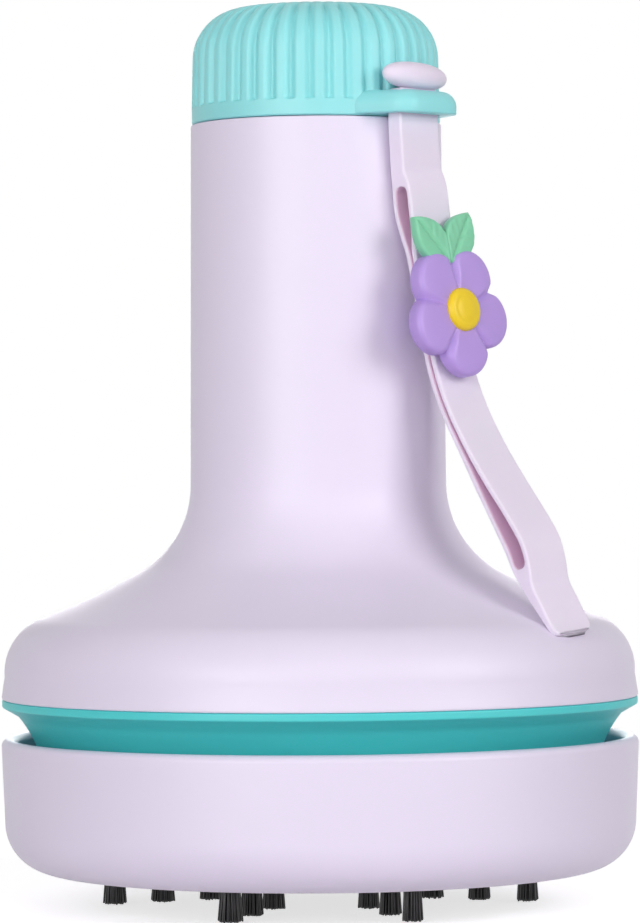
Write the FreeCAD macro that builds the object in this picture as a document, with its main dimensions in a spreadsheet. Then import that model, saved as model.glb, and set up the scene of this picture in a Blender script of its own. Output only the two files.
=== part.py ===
"""Desktop mini vacuum cleaner with a bell-shaped body, twist cap, hand strap and pull-off brush head.

Millimetres, +Z up. The origin is the centre of the plane through the bristle tips, and the strap's tab
points along +X. Each function builds one sub-part, and the sheet called Sizes drives all of them.
"""
import FreeCAD, Part
import math
import os
import re
import Sketcher

Vector = FreeCAD.Vector
Rotation = FreeCAD.Rotation
Placement = FreeCAD.Placement

doc = FreeCAD.newDocument("DeskVacuum")
sheet = doc.addObject("Spreadsheet::Sheet", "Sizes")

SIZES = {
    # upper shell: a bell whose neck is the handle
    "shell_base_r": 43.0, "shell_base_z": 28.1, "shell_side_r": 42.54, "shell_side_z": 31.1,
    "brow_r": 37.5, "brow_z": 38.9, "brow_bend": 7.7,
    "slope_r": 24.1, "slope_z": 45.1, "slope_bend": 82.0,
    "neck_r": 17.3, "neck_z": 56.6, "neck_bend": 13.4,
    "handle_r": 16.95, "handle_z": 105.3, "shell_wall": 2.0,
    # skirt ring below the shell
    "skirt_r": 42.9, "skirt_lip_z": 27.1, "bevel_r": 40.8, "bevel_z": 25.9,
    "flare_r": 38.4, "flare_z": 22.0, "flare_bend": 16.0, "skirt_foot_r": 37.4, "skirt_foot_z": 17.5,
    "skirt_wall": 1.8, "seat_gap": 0.6, "seat_height": 2.4,
    "collar_r": 29.7, "collar_bore_r": 27.9, "collar_base_z": 13.5, "collar_top_z": 25.3,
    "exhaust_count": 24, "exhaust_width": 2.2, "exhaust_length": 4.4,
    # long screws that clamp skirt, fan housing and shell
    "clamp_ring_r": 33.5, "clamp_boss_r": 2.6, "clamp_first": 7.5,
    # the four kinds of screw
    "clamp_head_r": 2.0, "clamp_head_height": 1.6, "clamp_shank_r": 1.0, "clamp_length": 14.0,
    "motor_head_r": 1.9, "motor_head_height": 0.9, "motor_shank_r": 1.0, "motor_length": 3.6,
    "neck_head_r": 1.8, "neck_head_height": 1.1, "neck_shank_r": 0.8, "neck_length": 7.5,
    "plate_head_r": 1.85, "plate_head_height": 0.9, "plate_shank_r": 1.0, "plate_length": 4.8,
    # fan housing, impeller and motor
    "housing_plate": 1.7, "housing_r": 30.2, "housing_wall_r": 25.0, "housing_top_z": 34.5, "eye_r": 8.0,
    "window_count": 12, "window_width": 6.4, "window_height": 4.2,
    "impeller_r": 20.0, "impeller_base_z": 28.2, "impeller_top_z": 33.3, "impeller_plate": 1.0,
    "hub_r": 4.2, "hub_top_r": 4.6, "hub_flare_r": 6.0, "hub_bend": 1.5,
    "blade_count": 9, "blade_root_r": 6.4, "blade_bend": 17.0,
    "bracket_top_z": 36.5, "motor_r": 12.0, "motor_top_z": 55.0, "motor_cap_z": 58.0, "can_wall": 1.2,
    "motor_screw_x": 8.0, "magnet_wall": 1.85, "magnet_gap_width": 7.0,
    "armature_height": 11.0, "armature_slot_length": 5.0, "armature_slot_width": 1.8,
    "axle_r": 1.0, "axle_base_z": 27.8, "axle_top_z": 57.6, "bush_r": 3.0, "running_gap": 0.05,
    # inner frame, cell, board and switch in the handle
    "frame_r": 14.6, "frame_base_z": 59.0, "frame_disc": 1.4,
    "post_centre_y": 12.4, "post_length": 4.0, "post_width": 3.4, "post_bore_r": 0.85,
    "cell_r": 8.25, "cell_length": 34.0, "cell_x": 3.5, "contact_plate": 0.4,
    "board_x": -9.3, "board_plate": 1.0, "board_width": 13.0, "board_base_z": 60.0, "board_height": 35.9,
    "chip_side": 5.0, "chip_height": 1.2, "chip_rise": 26.0,
    "port_z": 70.0, "port_width": 8.94, "port_height": 3.2, "port_depth": 7.0,
    "port_wall": 0.35, "port_play": 0.25, "led_z": 78.0, "led_r": 1.0,
    "switch_r": 8.0, "switch_height": 4.4, "neck_plate_z": 102.3, "spigot_top_z": 107.3,
    "spigot_r": 14.9, "spigot_wall": 1.6,
    # cap
    "cap_r": 16.8, "cap_base_z": 105.4, "band_top_z": 107.5, "rib_top_r": 16.62,
    "cap_shoulder_z": 114.6, "cap_crown_r": 10.35, "cap_crown_z": 121.0, "cap_top_z": 121.25,
    "cap_corner_bend": 6.9, "cap_bore_r": 14.97, "cap_inner_r": 14.6, "cap_roof_r": 10.0,
    "cap_roof_bend": 4.8, "cap_boss_r": 4.4, "flute_count": 40, "flute_r": 0.62, "flute_out": 0.12,
    "flute_turn": -2.8,
    "shaft_r": 2.95, "shaft_base_z": 98.0, "shaft_top_z": 115.6, "clip_z": 101.2, "clip_plate": 0.6,
    "key_thickness": 1.5, "key_width": 5.2, "key_x": 3.0, "key_play": 0.15,
    # tab, knob, strap and charm
    "tab_reach": 22.3, "tab_width": 12.2, "tab_base_z": 105.6, "tab_top_z": 108.7, "tab_corner_r": 3.4,
    "tab_flare": 19.0, "tab_root_x": 13.6, "tab_root_r": 15.9, "tab_round": 2.0,
    "strap_x": 18.6, "strap_y": -0.37, "strap_width": 7.4,
    "neck_x": 18.55, "neck_half": 1.15, "neck_rise": 0.4, "slot_gap": 0.3,
    "knob_x": 18.9, "knob_length": 10.7, "knob_width": 4.1, "knob_base_z": 108.85, "knob_height": 3.6,
    "bead_round_r": 1.65, "strap_tail_corner_r": 1.1, "strap_tail_past": 0.6,
    "knuckle_r": 1.35, "pivot_z": 103.9, "strap_lean": 5.4,
    "pinch_top": 16.87, "pinch_foot": 31.94, "pinch_tilt": 8.68, "band_half": 0.93,
    "charm_drop": 23.4, "slider_length": 4.4, "slider_gap": 0.3, "slider_wall": 0.6, "slider_round": 0.5,
    "petal_r": 3.9, "petal_ring_r": 4.9, "petal_count": 5, "petal_height": 2.4, "petal_round": 0.6,
    "flower_z": -1.6, "leaf_root": 1.4, "leaf_swing": 38.0,
    "leaf_length": 8.4, "leaf_width": 5.2, "leaf_height": 1.4, "leaf_lift": 0.6,
    "button_r": 2.9, "button_height": 0.9, "button_round": 0.5,
    # brush head: dish, dust cup, filter, plate and tufts
    "dish_r": 43.0, "dish_low_r": 42.6, "dish_top_z": 22.8, "dish_base_z": 4.9, "dish_corner_r": 6.6,
    "dish_wall": 2.0, "dish_floor_z": 6.5, "dish_floor_top_z": 8.2, "recess_r": 33.2,
    "dish_bend": 3.0, "dish_boss_r": 2.4, "dish_boss_height": 5.0,
    "mouth_r": 5.2, "tube_bore_r": 5.0, "tube_r": 6.2, "tube_top_z": 16.0,
    "cup_r": 27.4, "cup_wall": 1.6, "cup_floor_top_z": 9.7, "cup_top_z": 23.6,
    "ring_z": 21.0, "ring_seat_r": 27.05, "ring_wire_r": 0.75,
    "filter_r": 25.5, "filter_bore_r": 23.6, "filter_base_z": 18.2, "filter_flange_z": 24.6,
    "filter_ledge": 1.4, "filter_bar": 0.8, "filter_bar_width": 1.6, "paper": 0.9, "pleat_pitch": 3.0,
    "plate_r": 33.0, "tuft_hole_r": 1.4, "tuft_root_r": 1.25, "tuft_tip_r": 1.5,
    "spoke_first_r": 14.9, "spoke_pitch": 6.5, "tufts_per_spoke": 3, "plate_screw_r": 30.3,
}
# directions of the tuft spokes and of the plate screws between them, in degrees from the front
FRONT = -45.0
SPOKES = (-155.0, -90.0, -25.0, 25.0, 90.0, 155.0)
SCREW_SPOKES = (-122.5, -57.5, 57.5, 122.5)

pieces = []


def fill_sheet():
    """Write one named cell for each driving size."""
    for row, (alias, number) in enumerate(SIZES.items(), start=1):
        sheet.set(f"A{row}", alias)
        sheet.set(f"B{row}", str(number))
        sheet.setAlias(f"B{row}", alias)
    doc.recompute()


def size(alias):
    """The number in a named cell."""
    return float(sheet.get(alias))


def bound(text):
    """A sum of cell names as an expression that other objects can hold."""
    return re.sub(r"[a-z][a-z0-9_]*(?!\()\b", r"Sizes.\g<0>", text)


def number(text):
    """What a sum of cell names comes to now."""
    return float(sheet.evalExpression(text))


def bind(thing, **properties):
    """Tie properties such as Radius to sums of cell names."""
    for name, text in properties.items():
        thing.setExpression(name, bound(text))
    return thing


def move(thing, x="0", y="0", z="0"):
    """Tie an object's place to sums of cell names."""
    for axis, text in (("x", x), ("y", y), ("z", z)):
        if text != "0":
            thing.setExpression(f"Placement.Base.{axis}", bound(text))
    return thing


def cylinder(name, radius, height, x="0", y="0", z="0"):
    """An upright cylinder that starts at z."""
    return move(bind(doc.addObject("Part::Cylinder", name), Radius=radius, Height=height), x, y, z)


def block(name, length, width, height, x="0", y="0", z="0"):
    """A box centred on x and y that starts at z."""
    thing = bind(doc.addObject("Part::Box", name), Length=length, Width=width, Height=height)
    return move(thing, f"{x} - ({length}) / 2", f"{y} - ({width}) / 2", z)


def cut(name, base, *tools):
    """The base with every tool taken away."""
    away = tools[0] if len(tools) == 1 else fuse(f"{name}_tools", *tools)
    thing = doc.addObject("Part::Cut", name)
    thing.Base = base
    thing.Tool = away
    return thing


def fuse(name, *shapes):
    """Several shapes as one."""
    thing = doc.addObject("Part::MultiFuse", name)
    thing.Shapes = list(shapes)
    thing.Refine = True
    return thing


def group(name, *shapes):
    """Separate solids kept as one sub-part."""
    thing = doc.addObject("Part::Compound", name)
    thing.Links = list(shapes)
    return thing


def keep(thing, node):
    """Name a finished sub-part and list it for export."""
    thing.Label = node
    pieces.append(thing)
    return thing


def made(name, shape, placement=None):
    """A sub-part whose shape is worked out below from the sheet's sizes."""
    thing = doc.addObject("Part::Feature", name)
    thing.Shape = shape
    thing.Placement = placement or Placement()
    return thing


def origin_part(body, role):
    """A plane or axis of a body's own origin."""
    return next(item for item in body.Origin.OriginFeatures if item.Role == role)


def arc_middle(start, end, radius, turn):
    """The middle of the short arc from start to end that turns left (+1) or right (-1)."""
    chord = end - start
    half = chord.Length / 2
    sag = radius - math.sqrt(max(radius**2 - half**2, 0.0))
    side = Vector(chord.y, -chord.x, 0).normalize() * turn
    return (start + end) / 2 + side * sag


def draw(body, name, plane, outline, height=None):
    """A closed sketch. Each corner is (x, y), or (x, y, radius, turn) when an arc leads to it."""
    sketch = body.newObject("Sketcher::SketchObject", name)
    sketch.AttachmentSupport = [(origin_part(body, plane), "")]
    sketch.MapMode = "FlatFace"
    if height:
        sketch.setExpression("AttachmentOffset.Base.z", bound(height))
    corners = [Vector(number(item[0]), number(item[1]), 0) for item in outline]
    count = len(outline)
    rules = []
    texts = []
    for place in range(count):
        goal = (place + 1) % count
        start, end = corners[place], corners[goal]
        if len(outline[goal]) == 4:
            radius, turn = outline[goal][2:]
            middle = arc_middle(start, end, number(radius), turn)
            sketch.addGeometry(Part.Arc(start, middle, end), False)
        else:
            sketch.addGeometry(Part.LineSegment(start, end), False)
    first, last = [], []
    for place in range(count):
        is_arc = len(outline[(place + 1) % count]) == 4
        near = sketch.getPoint(place, 1).distanceToPoint(corners[place]) < 1e-6
        first.append(1 if near or not is_arc else 2)
        last.append(2 if near or not is_arc else 1)
    for place in range(count):
        before = (place - 1) % count
        rules.append(Sketcher.Constraint("Coincident", before, last[before], place, first[place]))
        texts.append(None)
        for kind, text in (("DistanceX", outline[place][0]), ("DistanceY", outline[place][1])):
            if text == "0":
                axis = -2 if kind == "DistanceX" else -1
                rules.append(Sketcher.Constraint("PointOnObject", place, first[place], axis))
                texts.append(None)
            else:
                rules.append(Sketcher.Constraint(kind, -1, 1, place, first[place], number(text)))
                texts.append(text)
        goal = outline[(place + 1) % count]
        if len(goal) == 4:
            rules.append(Sketcher.Constraint("Radius", place, number(goal[2])))
            texts.append(goal[2])
    sketch.addConstraint(rules)
    for index, text in enumerate(texts):
        if text:
            sketch.setExpression(f"Constraints[{index}]", bound(text))
    return sketch


def stadium(x, y, run, radius, upright=False):
    """An outline with two round ends, its straight sides along the sketch's X, or along Y if upright."""
    outline = [
        (f"{x} - {run}", f"{y} - {radius}", radius, 1),
        (f"{x} + {run}", f"{y} - {radius}"),
        (f"{x} + {run} + {radius}", y, radius, 1),
        (f"{x} + {run}", f"{y} + {radius}", radius, 1),
        (f"{x} - {run}", f"{y} + {radius}"),
        (f"{x} - {run} - {radius}", y, radius, 1),
    ]
    if upright:
        outline = [(item[1], item[0]) + ((radius, -1) if len(item) == 4 else ()) for item in outline]
    return outline


def turned(name, outline):
    """A body turned about Z from an outline in X and Z."""
    body = doc.addObject("PartDesign::Body", name)
    sketch = draw(body, f"{name}_outline", "XZ_Plane", outline)
    turning = body.newObject("PartDesign::Revolution", f"{name}_turning")
    turning.Profile = sketch
    turning.ReferenceAxis = (sketch, ["V_Axis"])
    turning.Angle = 360
    body.Tip = turning
    return body


def spread(body, feature, count):
    """Repeat a feature evenly about the body's Z axis."""
    pattern = body.newObject("PartDesign::PolarPattern", f"{feature.Name}_ring")
    pattern.Originals = [feature]
    pattern.Axis = (origin_part(body, "Z_Axis"), [""])
    pattern.Angle = 360
    pattern.setExpression("Occurrences", bound(count))
    body.Tip = pattern
    return pattern


def pocket(body, name, outline, floor, depth):
    """Cut a sketched outline upwards from floor by depth."""
    sketch = draw(body, f"{name}_outline", "XY_Plane", outline, floor)
    hollow = body.newObject("PartDesign::Pocket", name)
    hollow.Profile = sketch
    hollow.setExpression("Length", bound(depth))
    hollow.Reversed = True
    body.Tip = hollow
    return hollow


def pad(body, name, outline, floor, height):
    """Raise a sketched outline from floor by height."""
    sketch = draw(body, f"{name}_outline", "XY_Plane", outline, floor)
    raised = body.newObject("PartDesign::Pad", name)
    raised.Profile = sketch
    raised.setExpression("Length", bound(height))
    body.Tip = raised
    return raised


def ring_places(radius, degrees):
    """Expressions for x and y of a point on a circle."""
    turn = math.radians(degrees)
    return f"({radius}) * {math.cos(turn):.6f}", f"({radius}) * {math.sin(turn):.6f}"


def clamp_places():
    """The three clamp screws, each midway between two exhaust slots."""
    return [ring_places("clamp_ring_r", size("clamp_first") + 120 * turn) for turn in range(3)]


# ---------------------------------------------------------------- main body


def upper_shell():
    """The lavender bell: wide shoulder below, straight handle above, with the port's openings at the back."""
    wall = "shell_wall"
    outline = [
        ("shell_base_r", "shell_base_z"),
        ("shell_side_r", "shell_side_z"),
        ("brow_r", "brow_z", "brow_bend", 1),
        ("slope_r", "slope_z", "slope_bend", -1),
        ("neck_r", "neck_z", "neck_bend", -1),
        ("handle_r", "handle_z"),
        (f"handle_r - {wall}", "handle_z"),
        (f"neck_r - {wall}", "neck_z"),
        (f"slope_r - {wall} * 0.496", f"slope_z - {wall} * 0.868", f"neck_bend + {wall}", 1),
        (f"brow_r - {wall} * 0.339", f"brow_z - {wall} * 0.941", f"slope_bend + {wall}", 1),
        (f"shell_side_r - {wall}", "shell_side_z", f"brow_bend - {wall}", -1),
        (f"shell_base_r - {wall}", "shell_base_z"),
    ]
    bell = turned("upper_shell_bell", outline)
    bosses = []
    holes = []
    for turn, (x, y) in enumerate(clamp_places()):
        floor = "collar_top_z + housing_plate"
        bosses.append(cylinder(f"clamp_boss_{turn}", "clamp_boss_r", f"brow_z - ({floor})", x, y, floor))
        holes.append(cylinder(f"clamp_hole_{turn}", "clamp_shank_r + 0.05", "9.0", x, y, f"{floor} - 0.5"))
    slot = block("port_slot", "6.0", "port_width + port_play * 2", "port_height + port_play * 2",
                 "-handle_r", "0", "port_z - port_height / 2 - port_play")
    pipe = bind(doc.addObject("Part::Cylinder", "led_hole"), Radius="led_r + 0.05", Height="6.0")
    pipe.Placement = Placement(Vector(), Rotation(Vector(0, 1, 0), 90))
    move(pipe, "-handle_r - 3.0", "0", "led_z")
    body = fuse("upper_shell_body", bell, *bosses)
    keep(cut("upper_shell", body, *holes, slot, pipe), "upper_shell")


def skirt_ring():
    """The teal flared ring: seats the shell, carries the head's collar and lets air out underneath."""
    wall = "skirt_wall"
    seat = "shell_base_r - shell_wall - seat_gap"
    outline = [
        ("skirt_r", "shell_base_z"),
        (seat, "shell_base_z"),
        (seat, "shell_base_z + seat_height"),
        (f"{seat} - {wall}", "shell_base_z + seat_height"),
        (f"{seat} - {wall}", "bevel_z"),
        (f"flare_r - {wall}", "flare_z"),
        (f"skirt_foot_r - {wall}", f"skirt_foot_z + {wall}"),
        ("collar_r", f"skirt_foot_z + {wall}"),
        ("collar_r", "collar_top_z"),
        ("collar_bore_r", "collar_top_z"),
        ("collar_bore_r", "collar_base_z"),
        ("collar_r", "collar_base_z"),
        ("collar_r", "skirt_foot_z"),
        ("skirt_foot_r - 0.8", "skirt_foot_z"),
        ("skirt_foot_r", "skirt_foot_z + 0.8"),
        ("flare_r", "flare_z"),
        ("bevel_r", "bevel_z", "flare_bend", -1),
        ("skirt_r", "skirt_lip_z"),
    ]
    ring = turned("skirt_ring_body", outline)
    half = "exhaust_width / 2"
    middle = "(collar_r + skirt_foot_r - skirt_wall) / 2"
    vent = pocket(ring, "exhaust_slot", [
        (f"{middle} - exhaust_length / 2", f"-{half}"),
        (f"{middle} + exhaust_length / 2", f"-{half}"),
        (f"{middle} + exhaust_length / 2", half),
        (f"{middle} - exhaust_length / 2", half),
    ], "skirt_foot_z - 0.5", "skirt_wall + 1.0")
    spread(ring, vent, "exhaust_count")
    tubes = []
    bores = []
    for turn, (x, y) in enumerate(clamp_places()):
        tubes.append(cylinder(f"clamp_tube_{turn}", "clamp_boss_r", "collar_top_z - skirt_foot_z",
                              x, y, "skirt_foot_z"))
        bores.append(cylinder(f"tube_bore_{turn}", "clamp_shank_r + 0.25", "9.0", x, y, "skirt_foot_z - 0.5"))
        bores.append(cylinder(f"head_bore_{turn}", "clamp_head_r + 0.1", "3.0", x, y, "skirt_foot_z - 0.5"))
    body = fuse("skirt_ring_with_tubes", ring, *tubes)
    keep(cut("skirt_ring", body, *bores), "skirt_ring")


def fan_housing():
    """The drum round the impeller, with its eye below and air windows in its wall."""
    top = "collar_top_z + housing_plate"
    drum = turned("fan_drum", [
        ("eye_r", "collar_top_z"),
        ("housing_r", "collar_top_z"),
        ("housing_r", top),
        ("housing_wall_r", top),
        ("housing_wall_r", "housing_top_z"),
        ("housing_wall_r - 1.6", "housing_top_z"),
        ("housing_wall_r - 1.6", top),
        ("eye_r", top),
    ])
    half = "window_width / 2"
    window = pocket(drum, "air_window", [
        ("housing_wall_r - 3.0", f"-{half}"),
        ("housing_wall_r + 1.0", f"-{half}"),
        ("housing_wall_r + 1.0", half),
        ("housing_wall_r - 3.0", half),
    ], f"{top} + 1.4", "window_height")
    spread(drum, window, "window_count")
    ears = []
    holes = []
    for turn, (x, y) in enumerate(clamp_places()):
        ears.append(cylinder(f"ear_{turn}", "clamp_boss_r + 1.6", "housing_plate", x, y, "collar_top_z"))
        holes.append(cylinder(f"ear_hole_{turn}", "clamp_shank_r + 0.25", "4.0", x, y, "collar_top_z - 1.0"))
    body = fuse("fan_housing_body", drum, *ears)
    keep(cut("fan_housing", body, *holes), "fan_housing")


def motor_bracket():
    """The lid of the fan drum, which the motor hangs on."""
    disc = cylinder("bracket_disc", "housing_wall_r", "bracket_top_z - housing_top_z", z="housing_top_z")
    spigot = cylinder("bracket_spigot", "housing_wall_r - 1.7", "0.7", z="housing_top_z - 0.7")
    eye = cylinder("bracket_eye", "bush_r + 1.0", "6.0", z="housing_top_z - 2.0")
    hollow = cylinder("bracket_hollow", "housing_wall_r - 3.2", "0.7", z="housing_top_z - 0.7")
    tools = [eye, hollow]
    for side in (-1, 1):
        x = f"motor_screw_x * {side}"
        tools.append(cylinder(f"bracket_hole_{side + 1}", "motor_shank_r + 0.1", "6.0", x, "0",
                              "housing_top_z - 2.0"))
        tools.append(cylinder(f"bracket_sink_{side + 1}", "motor_head_r + 0.1", "motor_head_height + 0.2",
                              x, "0", "housing_top_z"))
    keep(cut("motor_bracket", fuse("bracket_body", disc, spigot), *tools), "motor_bracket")


def motor():
    """Can, magnets, end cap and bushes of the direct-current motor."""
    can = turned("motor_can_body", [
        ("bush_r", "bracket_top_z"),
        ("motor_r", "bracket_top_z"),
        ("motor_r", "motor_top_z"),
        ("motor_r - can_wall", "motor_top_z"),
        ("motor_r - can_wall", "bracket_top_z + can_wall"),
        ("bush_r", "bracket_top_z + can_wall"),
    ])
    holes = [cylinder(f"can_hole_{side + 1}", "motor_shank_r + 0.05", "4.0", f"motor_screw_x * {side}", "0",
                      "bracket_top_z - 1.0") for side in (-1, 1)]
    keep(cut("motor_can_drilled", can, *holes), "motor_can")
    keep(turned("motor_end_cap", [
        ("bush_r", "motor_top_z"),
        ("motor_r", "motor_top_z"),
        ("motor_r", "motor_cap_z - 0.6"),
        ("motor_r - 0.6", "motor_cap_z"),
        ("bush_r", "motor_cap_z"),
    ]), "motor_end_cap")
    bore = "motor_r - can_wall - 0.05"
    shell = turned("magnet_tube", [
        (f"{bore} - magnet_wall", "bracket_top_z + 4.0"),
        (bore, "bracket_top_z + 4.0"),
        (bore, "motor_top_z - 3.0"),
        (f"{bore} - magnet_wall", "motor_top_z - 3.0"),
    ])
    gap = block("magnet_gap", "motor_r * 2 + 4.0", "magnet_gap_width", "motor_top_z", z="0")
    keep(cut("motor_magnets", shell, gap), "motor_magnets")
    bushes = []
    for name, floor, height in (("lower", "bracket_top_z", "3.0"), ("upper", "motor_top_z + 0.2", "2.8")):
        sleeve = cylinder(f"bush_{name}", "bush_r - 0.02", height, z=floor)
        drill = cylinder(f"bush_bore_{name}", "axle_r + running_gap", "5.0", z=f"{floor} - 1.0")
        bushes.append(cut(f"motor_bush_{name}", sleeve, drill))
    keep(group("motor_bushes", *bushes), "motor_bushes")


def battery():
    """The rechargeable cell and its two contact plates."""
    base = "frame_base_z + frame_disc"
    keep(cylinder("battery_cell", "cell_r", "cell_length", "cell_x", "0", f"{base} + contact_plate"),
         "battery_cell")
    plates = [cylinder(f"contact_{place}", "cell_r - 2.0", "contact_plate", "cell_x", "0", floor)
              for place, floor in enumerate((base, f"{base} + contact_plate + cell_length"))]
    keep(group("cell_contacts", *plates), "cell_contacts")


def frame_height():
    """Where the upper disc of the inner frame starts."""
    return "frame_base_z + frame_disc + contact_plate * 2 + cell_length"


def inner_frame():
    """Two discs on two posts that hold cell, board and switch in the handle."""
    discs = [cylinder(f"frame_disc_{place}", "frame_r", "frame_disc", z=floor)
             for place, floor in enumerate(("frame_base_z", frame_height()))]
    posts = [block(f"frame_post_{side + 1}", "post_length", "post_width", "neck_plate_z - frame_base_z", "0",
                   f"post_centre_y * {side}", "frame_base_z") for side in (-1, 1)]
    holes = [cylinder(f"post_hole_{side + 1}", "post_bore_r", "9.0", "0", f"post_centre_y * {side}",
                      "neck_plate_z - 8.0") for side in (-1, 1)]
    slots = [block(f"board_slot_{place}", "board_plate + 0.2", "board_width + 0.4", "frame_disc + 1.0",
                   "board_x + board_plate / 2", "0", floor)
             for place, floor in enumerate(("frame_base_z + frame_disc - 0.6", f"{frame_height()} - 1.4"))]
    keep(cut("inner_frame", fuse("frame_body", *discs, *posts), *holes, *slots), "inner_frame")


def charge_board():
    """The circuit board with its charging port and lamp at the back of the handle."""
    board = block("board_blank", "board_plate", "board_width", "board_height",
                  "board_x + board_plate / 2", "0", "board_base_z")
    chip = block("board_chip", "chip_height", "chip_side", "chip_side",
                 "board_x + board_plate + chip_height / 2", "0", "board_base_z + chip_rise")
    keep(fuse("charge_board", board, chip), "charge_board")
    socket = doc.addObject("PartDesign::Body", "usb_socket_body")
    port_case(socket, "port_case", "PartDesign::Pad", "0", "board_x", "port_depth")
    port_case(socket, "port_mouth", "PartDesign::Pocket", "port_wall", "board_x - port_depth",
              "port_depth - 1.0")
    keep(socket, "usb_socket")
    lamp = bind(doc.addObject("Part::Cylinder", "lamp_pipe"), Radius="led_r", Height="handle_r + board_x")
    lamp.Placement = Placement(Vector(), Rotation(Vector(0, 1, 0), -90))
    keep(move(lamp, "board_x", "0", "led_z"), "charge_lamp")


def port_case(body, name, kind, inset, start, depth):
    """The port's stadium section, raised towards the back or cut in from its mouth."""
    high = f"(port_height / 2 - {inset})"
    sketch = draw(body, f"{name}_outline", "YZ_Plane",
                  stadium("0", "port_z", "(port_width - port_height) / 2", high), start)
    feature = body.newObject(kind, name)
    feature.Profile = sketch
    feature.setExpression("Length", bound(depth))
    feature.Reversed = True
    body.Tip = feature


def rotary_switch():
    """The switch that the cap turns, standing on the inner frame."""
    case = cylinder("switch_case", "switch_r", "switch_height", z=f"{frame_height()} + frame_disc")
    bore = cylinder("switch_bore", "shaft_r + running_gap", "switch_height", z="shaft_base_z - 0.3")
    keep(cut("rotary_switch_cut", case, bore), "rotary_switch")


def neck_plate():
    """The plate that closes the handle, with the spigot the cap turns on."""
    plate = turned("neck_plate_body", [
        ("shaft_r + 0.35", "neck_plate_z"),
        ("spigot_r", "neck_plate_z"),
        ("spigot_r", "spigot_top_z"),
        ("spigot_r - spigot_wall", "spigot_top_z"),
        ("spigot_r - spigot_wall", "handle_z"),
        ("shaft_r + 0.35", "handle_z"),
    ])
    holes = []
    screws = []
    seat = "handle_z - neck_head_height - 0.2"
    for side in (-1, 1):
        y = f"post_centre_y * {side}"
        holes.append(cylinder(f"neck_hole_{side + 1}", "neck_shank_r + 0.15", "5.0", "0", y,
                              "neck_plate_z - 1.0"))
        holes.append(cylinder(f"neck_sink_{side + 1}", "neck_head_r + 0.2", "5.0", "0", y, seat))
        screws.append(pan_screw("neck", side + 1, "0", y, seat, -1))
    keep(cut("neck_plate_drilled", plate, *holes), "neck_plate")
    keep(group("neck_screw_set", *screws), "neck_screws")


def pan_screw(kind, place, x, y, seat, way):
    """A screw of one kind. Its head seats at a height and its shank runs up (+1) or down (-1)."""
    overlap = "0.2"
    name = f"{kind}_screw_{place}"
    head_floor = seat if way < 0 else f"{seat} - {kind}_head_height"
    shank_floor = f"{seat} - {kind}_length" if way < 0 else f"{seat} - {overlap}"
    head = cylinder(f"{name}_head", f"{kind}_head_r", f"{kind}_head_height", x, y, head_floor)
    shank = cylinder(f"{name}_shank", f"{kind}_shank_r", f"{kind}_length + {overlap}", x, y, shank_floor)
    return fuse(name, head, shank)


def clamp_screws():
    """The long screws from under the skirt into the shell's bosses, and the motor's two screws."""
    long_set = [pan_screw("clamp", turn, x, y, "skirt_foot_z + 2.5", 1)
                for turn, (x, y) in enumerate(clamp_places())]
    keep(group("clamp_screw_set", *long_set), "shell_screws")
    short_set = [pan_screw("motor", side + 1, f"motor_screw_x * {side}", "0",
                           "housing_top_z + motor_head_height + 0.2", 1) for side in (-1, 1)]
    keep(group("motor_screw_set", *short_set), "motor_screws")


# ---------------------------------------------------------------- rotor


def rotor():
    """Shaft, impeller and armature, which spin together."""
    axle = cylinder("axle", "axle_r", "axle_top_z - axle_base_z", z="axle_base_z")
    keep(axle, "rotor_shaft")
    bore = "axle_r + 0.01"
    wheel = turned("impeller", [
        (bore, "impeller_base_z"),
        ("hub_r", "impeller_base_z"),
        ("hub_top_r", "impeller_top_z - impeller_plate - 1.4"),
        ("hub_flare_r", "impeller_top_z - impeller_plate", "hub_bend", -1),
        ("impeller_r", "impeller_top_z - impeller_plate"),
        ("impeller_r", "impeller_top_z"),
        (bore, "impeller_top_z"),
    ])
    blade = pad(wheel, "blade", [
        ("blade_root_r", "-0.5"),
        ("impeller_r * 0.81", "impeller_r * 0.54", "blade_bend + 0.5", 1),
        ("impeller_r * 0.775", "impeller_r * 0.585"),
        ("blade_root_r", "0.5", "blade_bend - 0.5", -1),
    ], "impeller_base_z + 0.3", "impeller_top_z - impeller_base_z - 0.8")
    spread(wheel, blade, "blade_count")
    keep(wheel, "impeller")
    core = cylinder("armature_core", "motor_r - can_wall - 2.5", "armature_height", z="bracket_top_z + 4.2")
    floor, height = "bracket_top_z + 3.0", "armature_height + 2.0"
    tools = [cylinder("armature_bore", bore, height, z=floor)]
    start, half = "(motor_r - can_wall - armature_slot_length)", "armature_slot_width / 2"
    for turn in range(3):
        slot = block(f"armature_slot_{turn}", "armature_slot_length", "armature_slot_width", height, z=floor)
        slot.Placement = Placement(Vector(), Rotation(Vector(0, 0, 1), 120 * turn))
        angle = math.radians(120 * turn)
        along, across = f"{math.cos(angle):.6f}", f"{math.sin(angle):.6f}"
        move(slot, f"{start} * {along} + {half} * {across}", f"{start} * {across} - {half} * {along}", floor)
        tools.append(slot)
    keep(cut("armature_cut", core, *tools), "armature")


# ---------------------------------------------------------------- cap and knob


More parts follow.
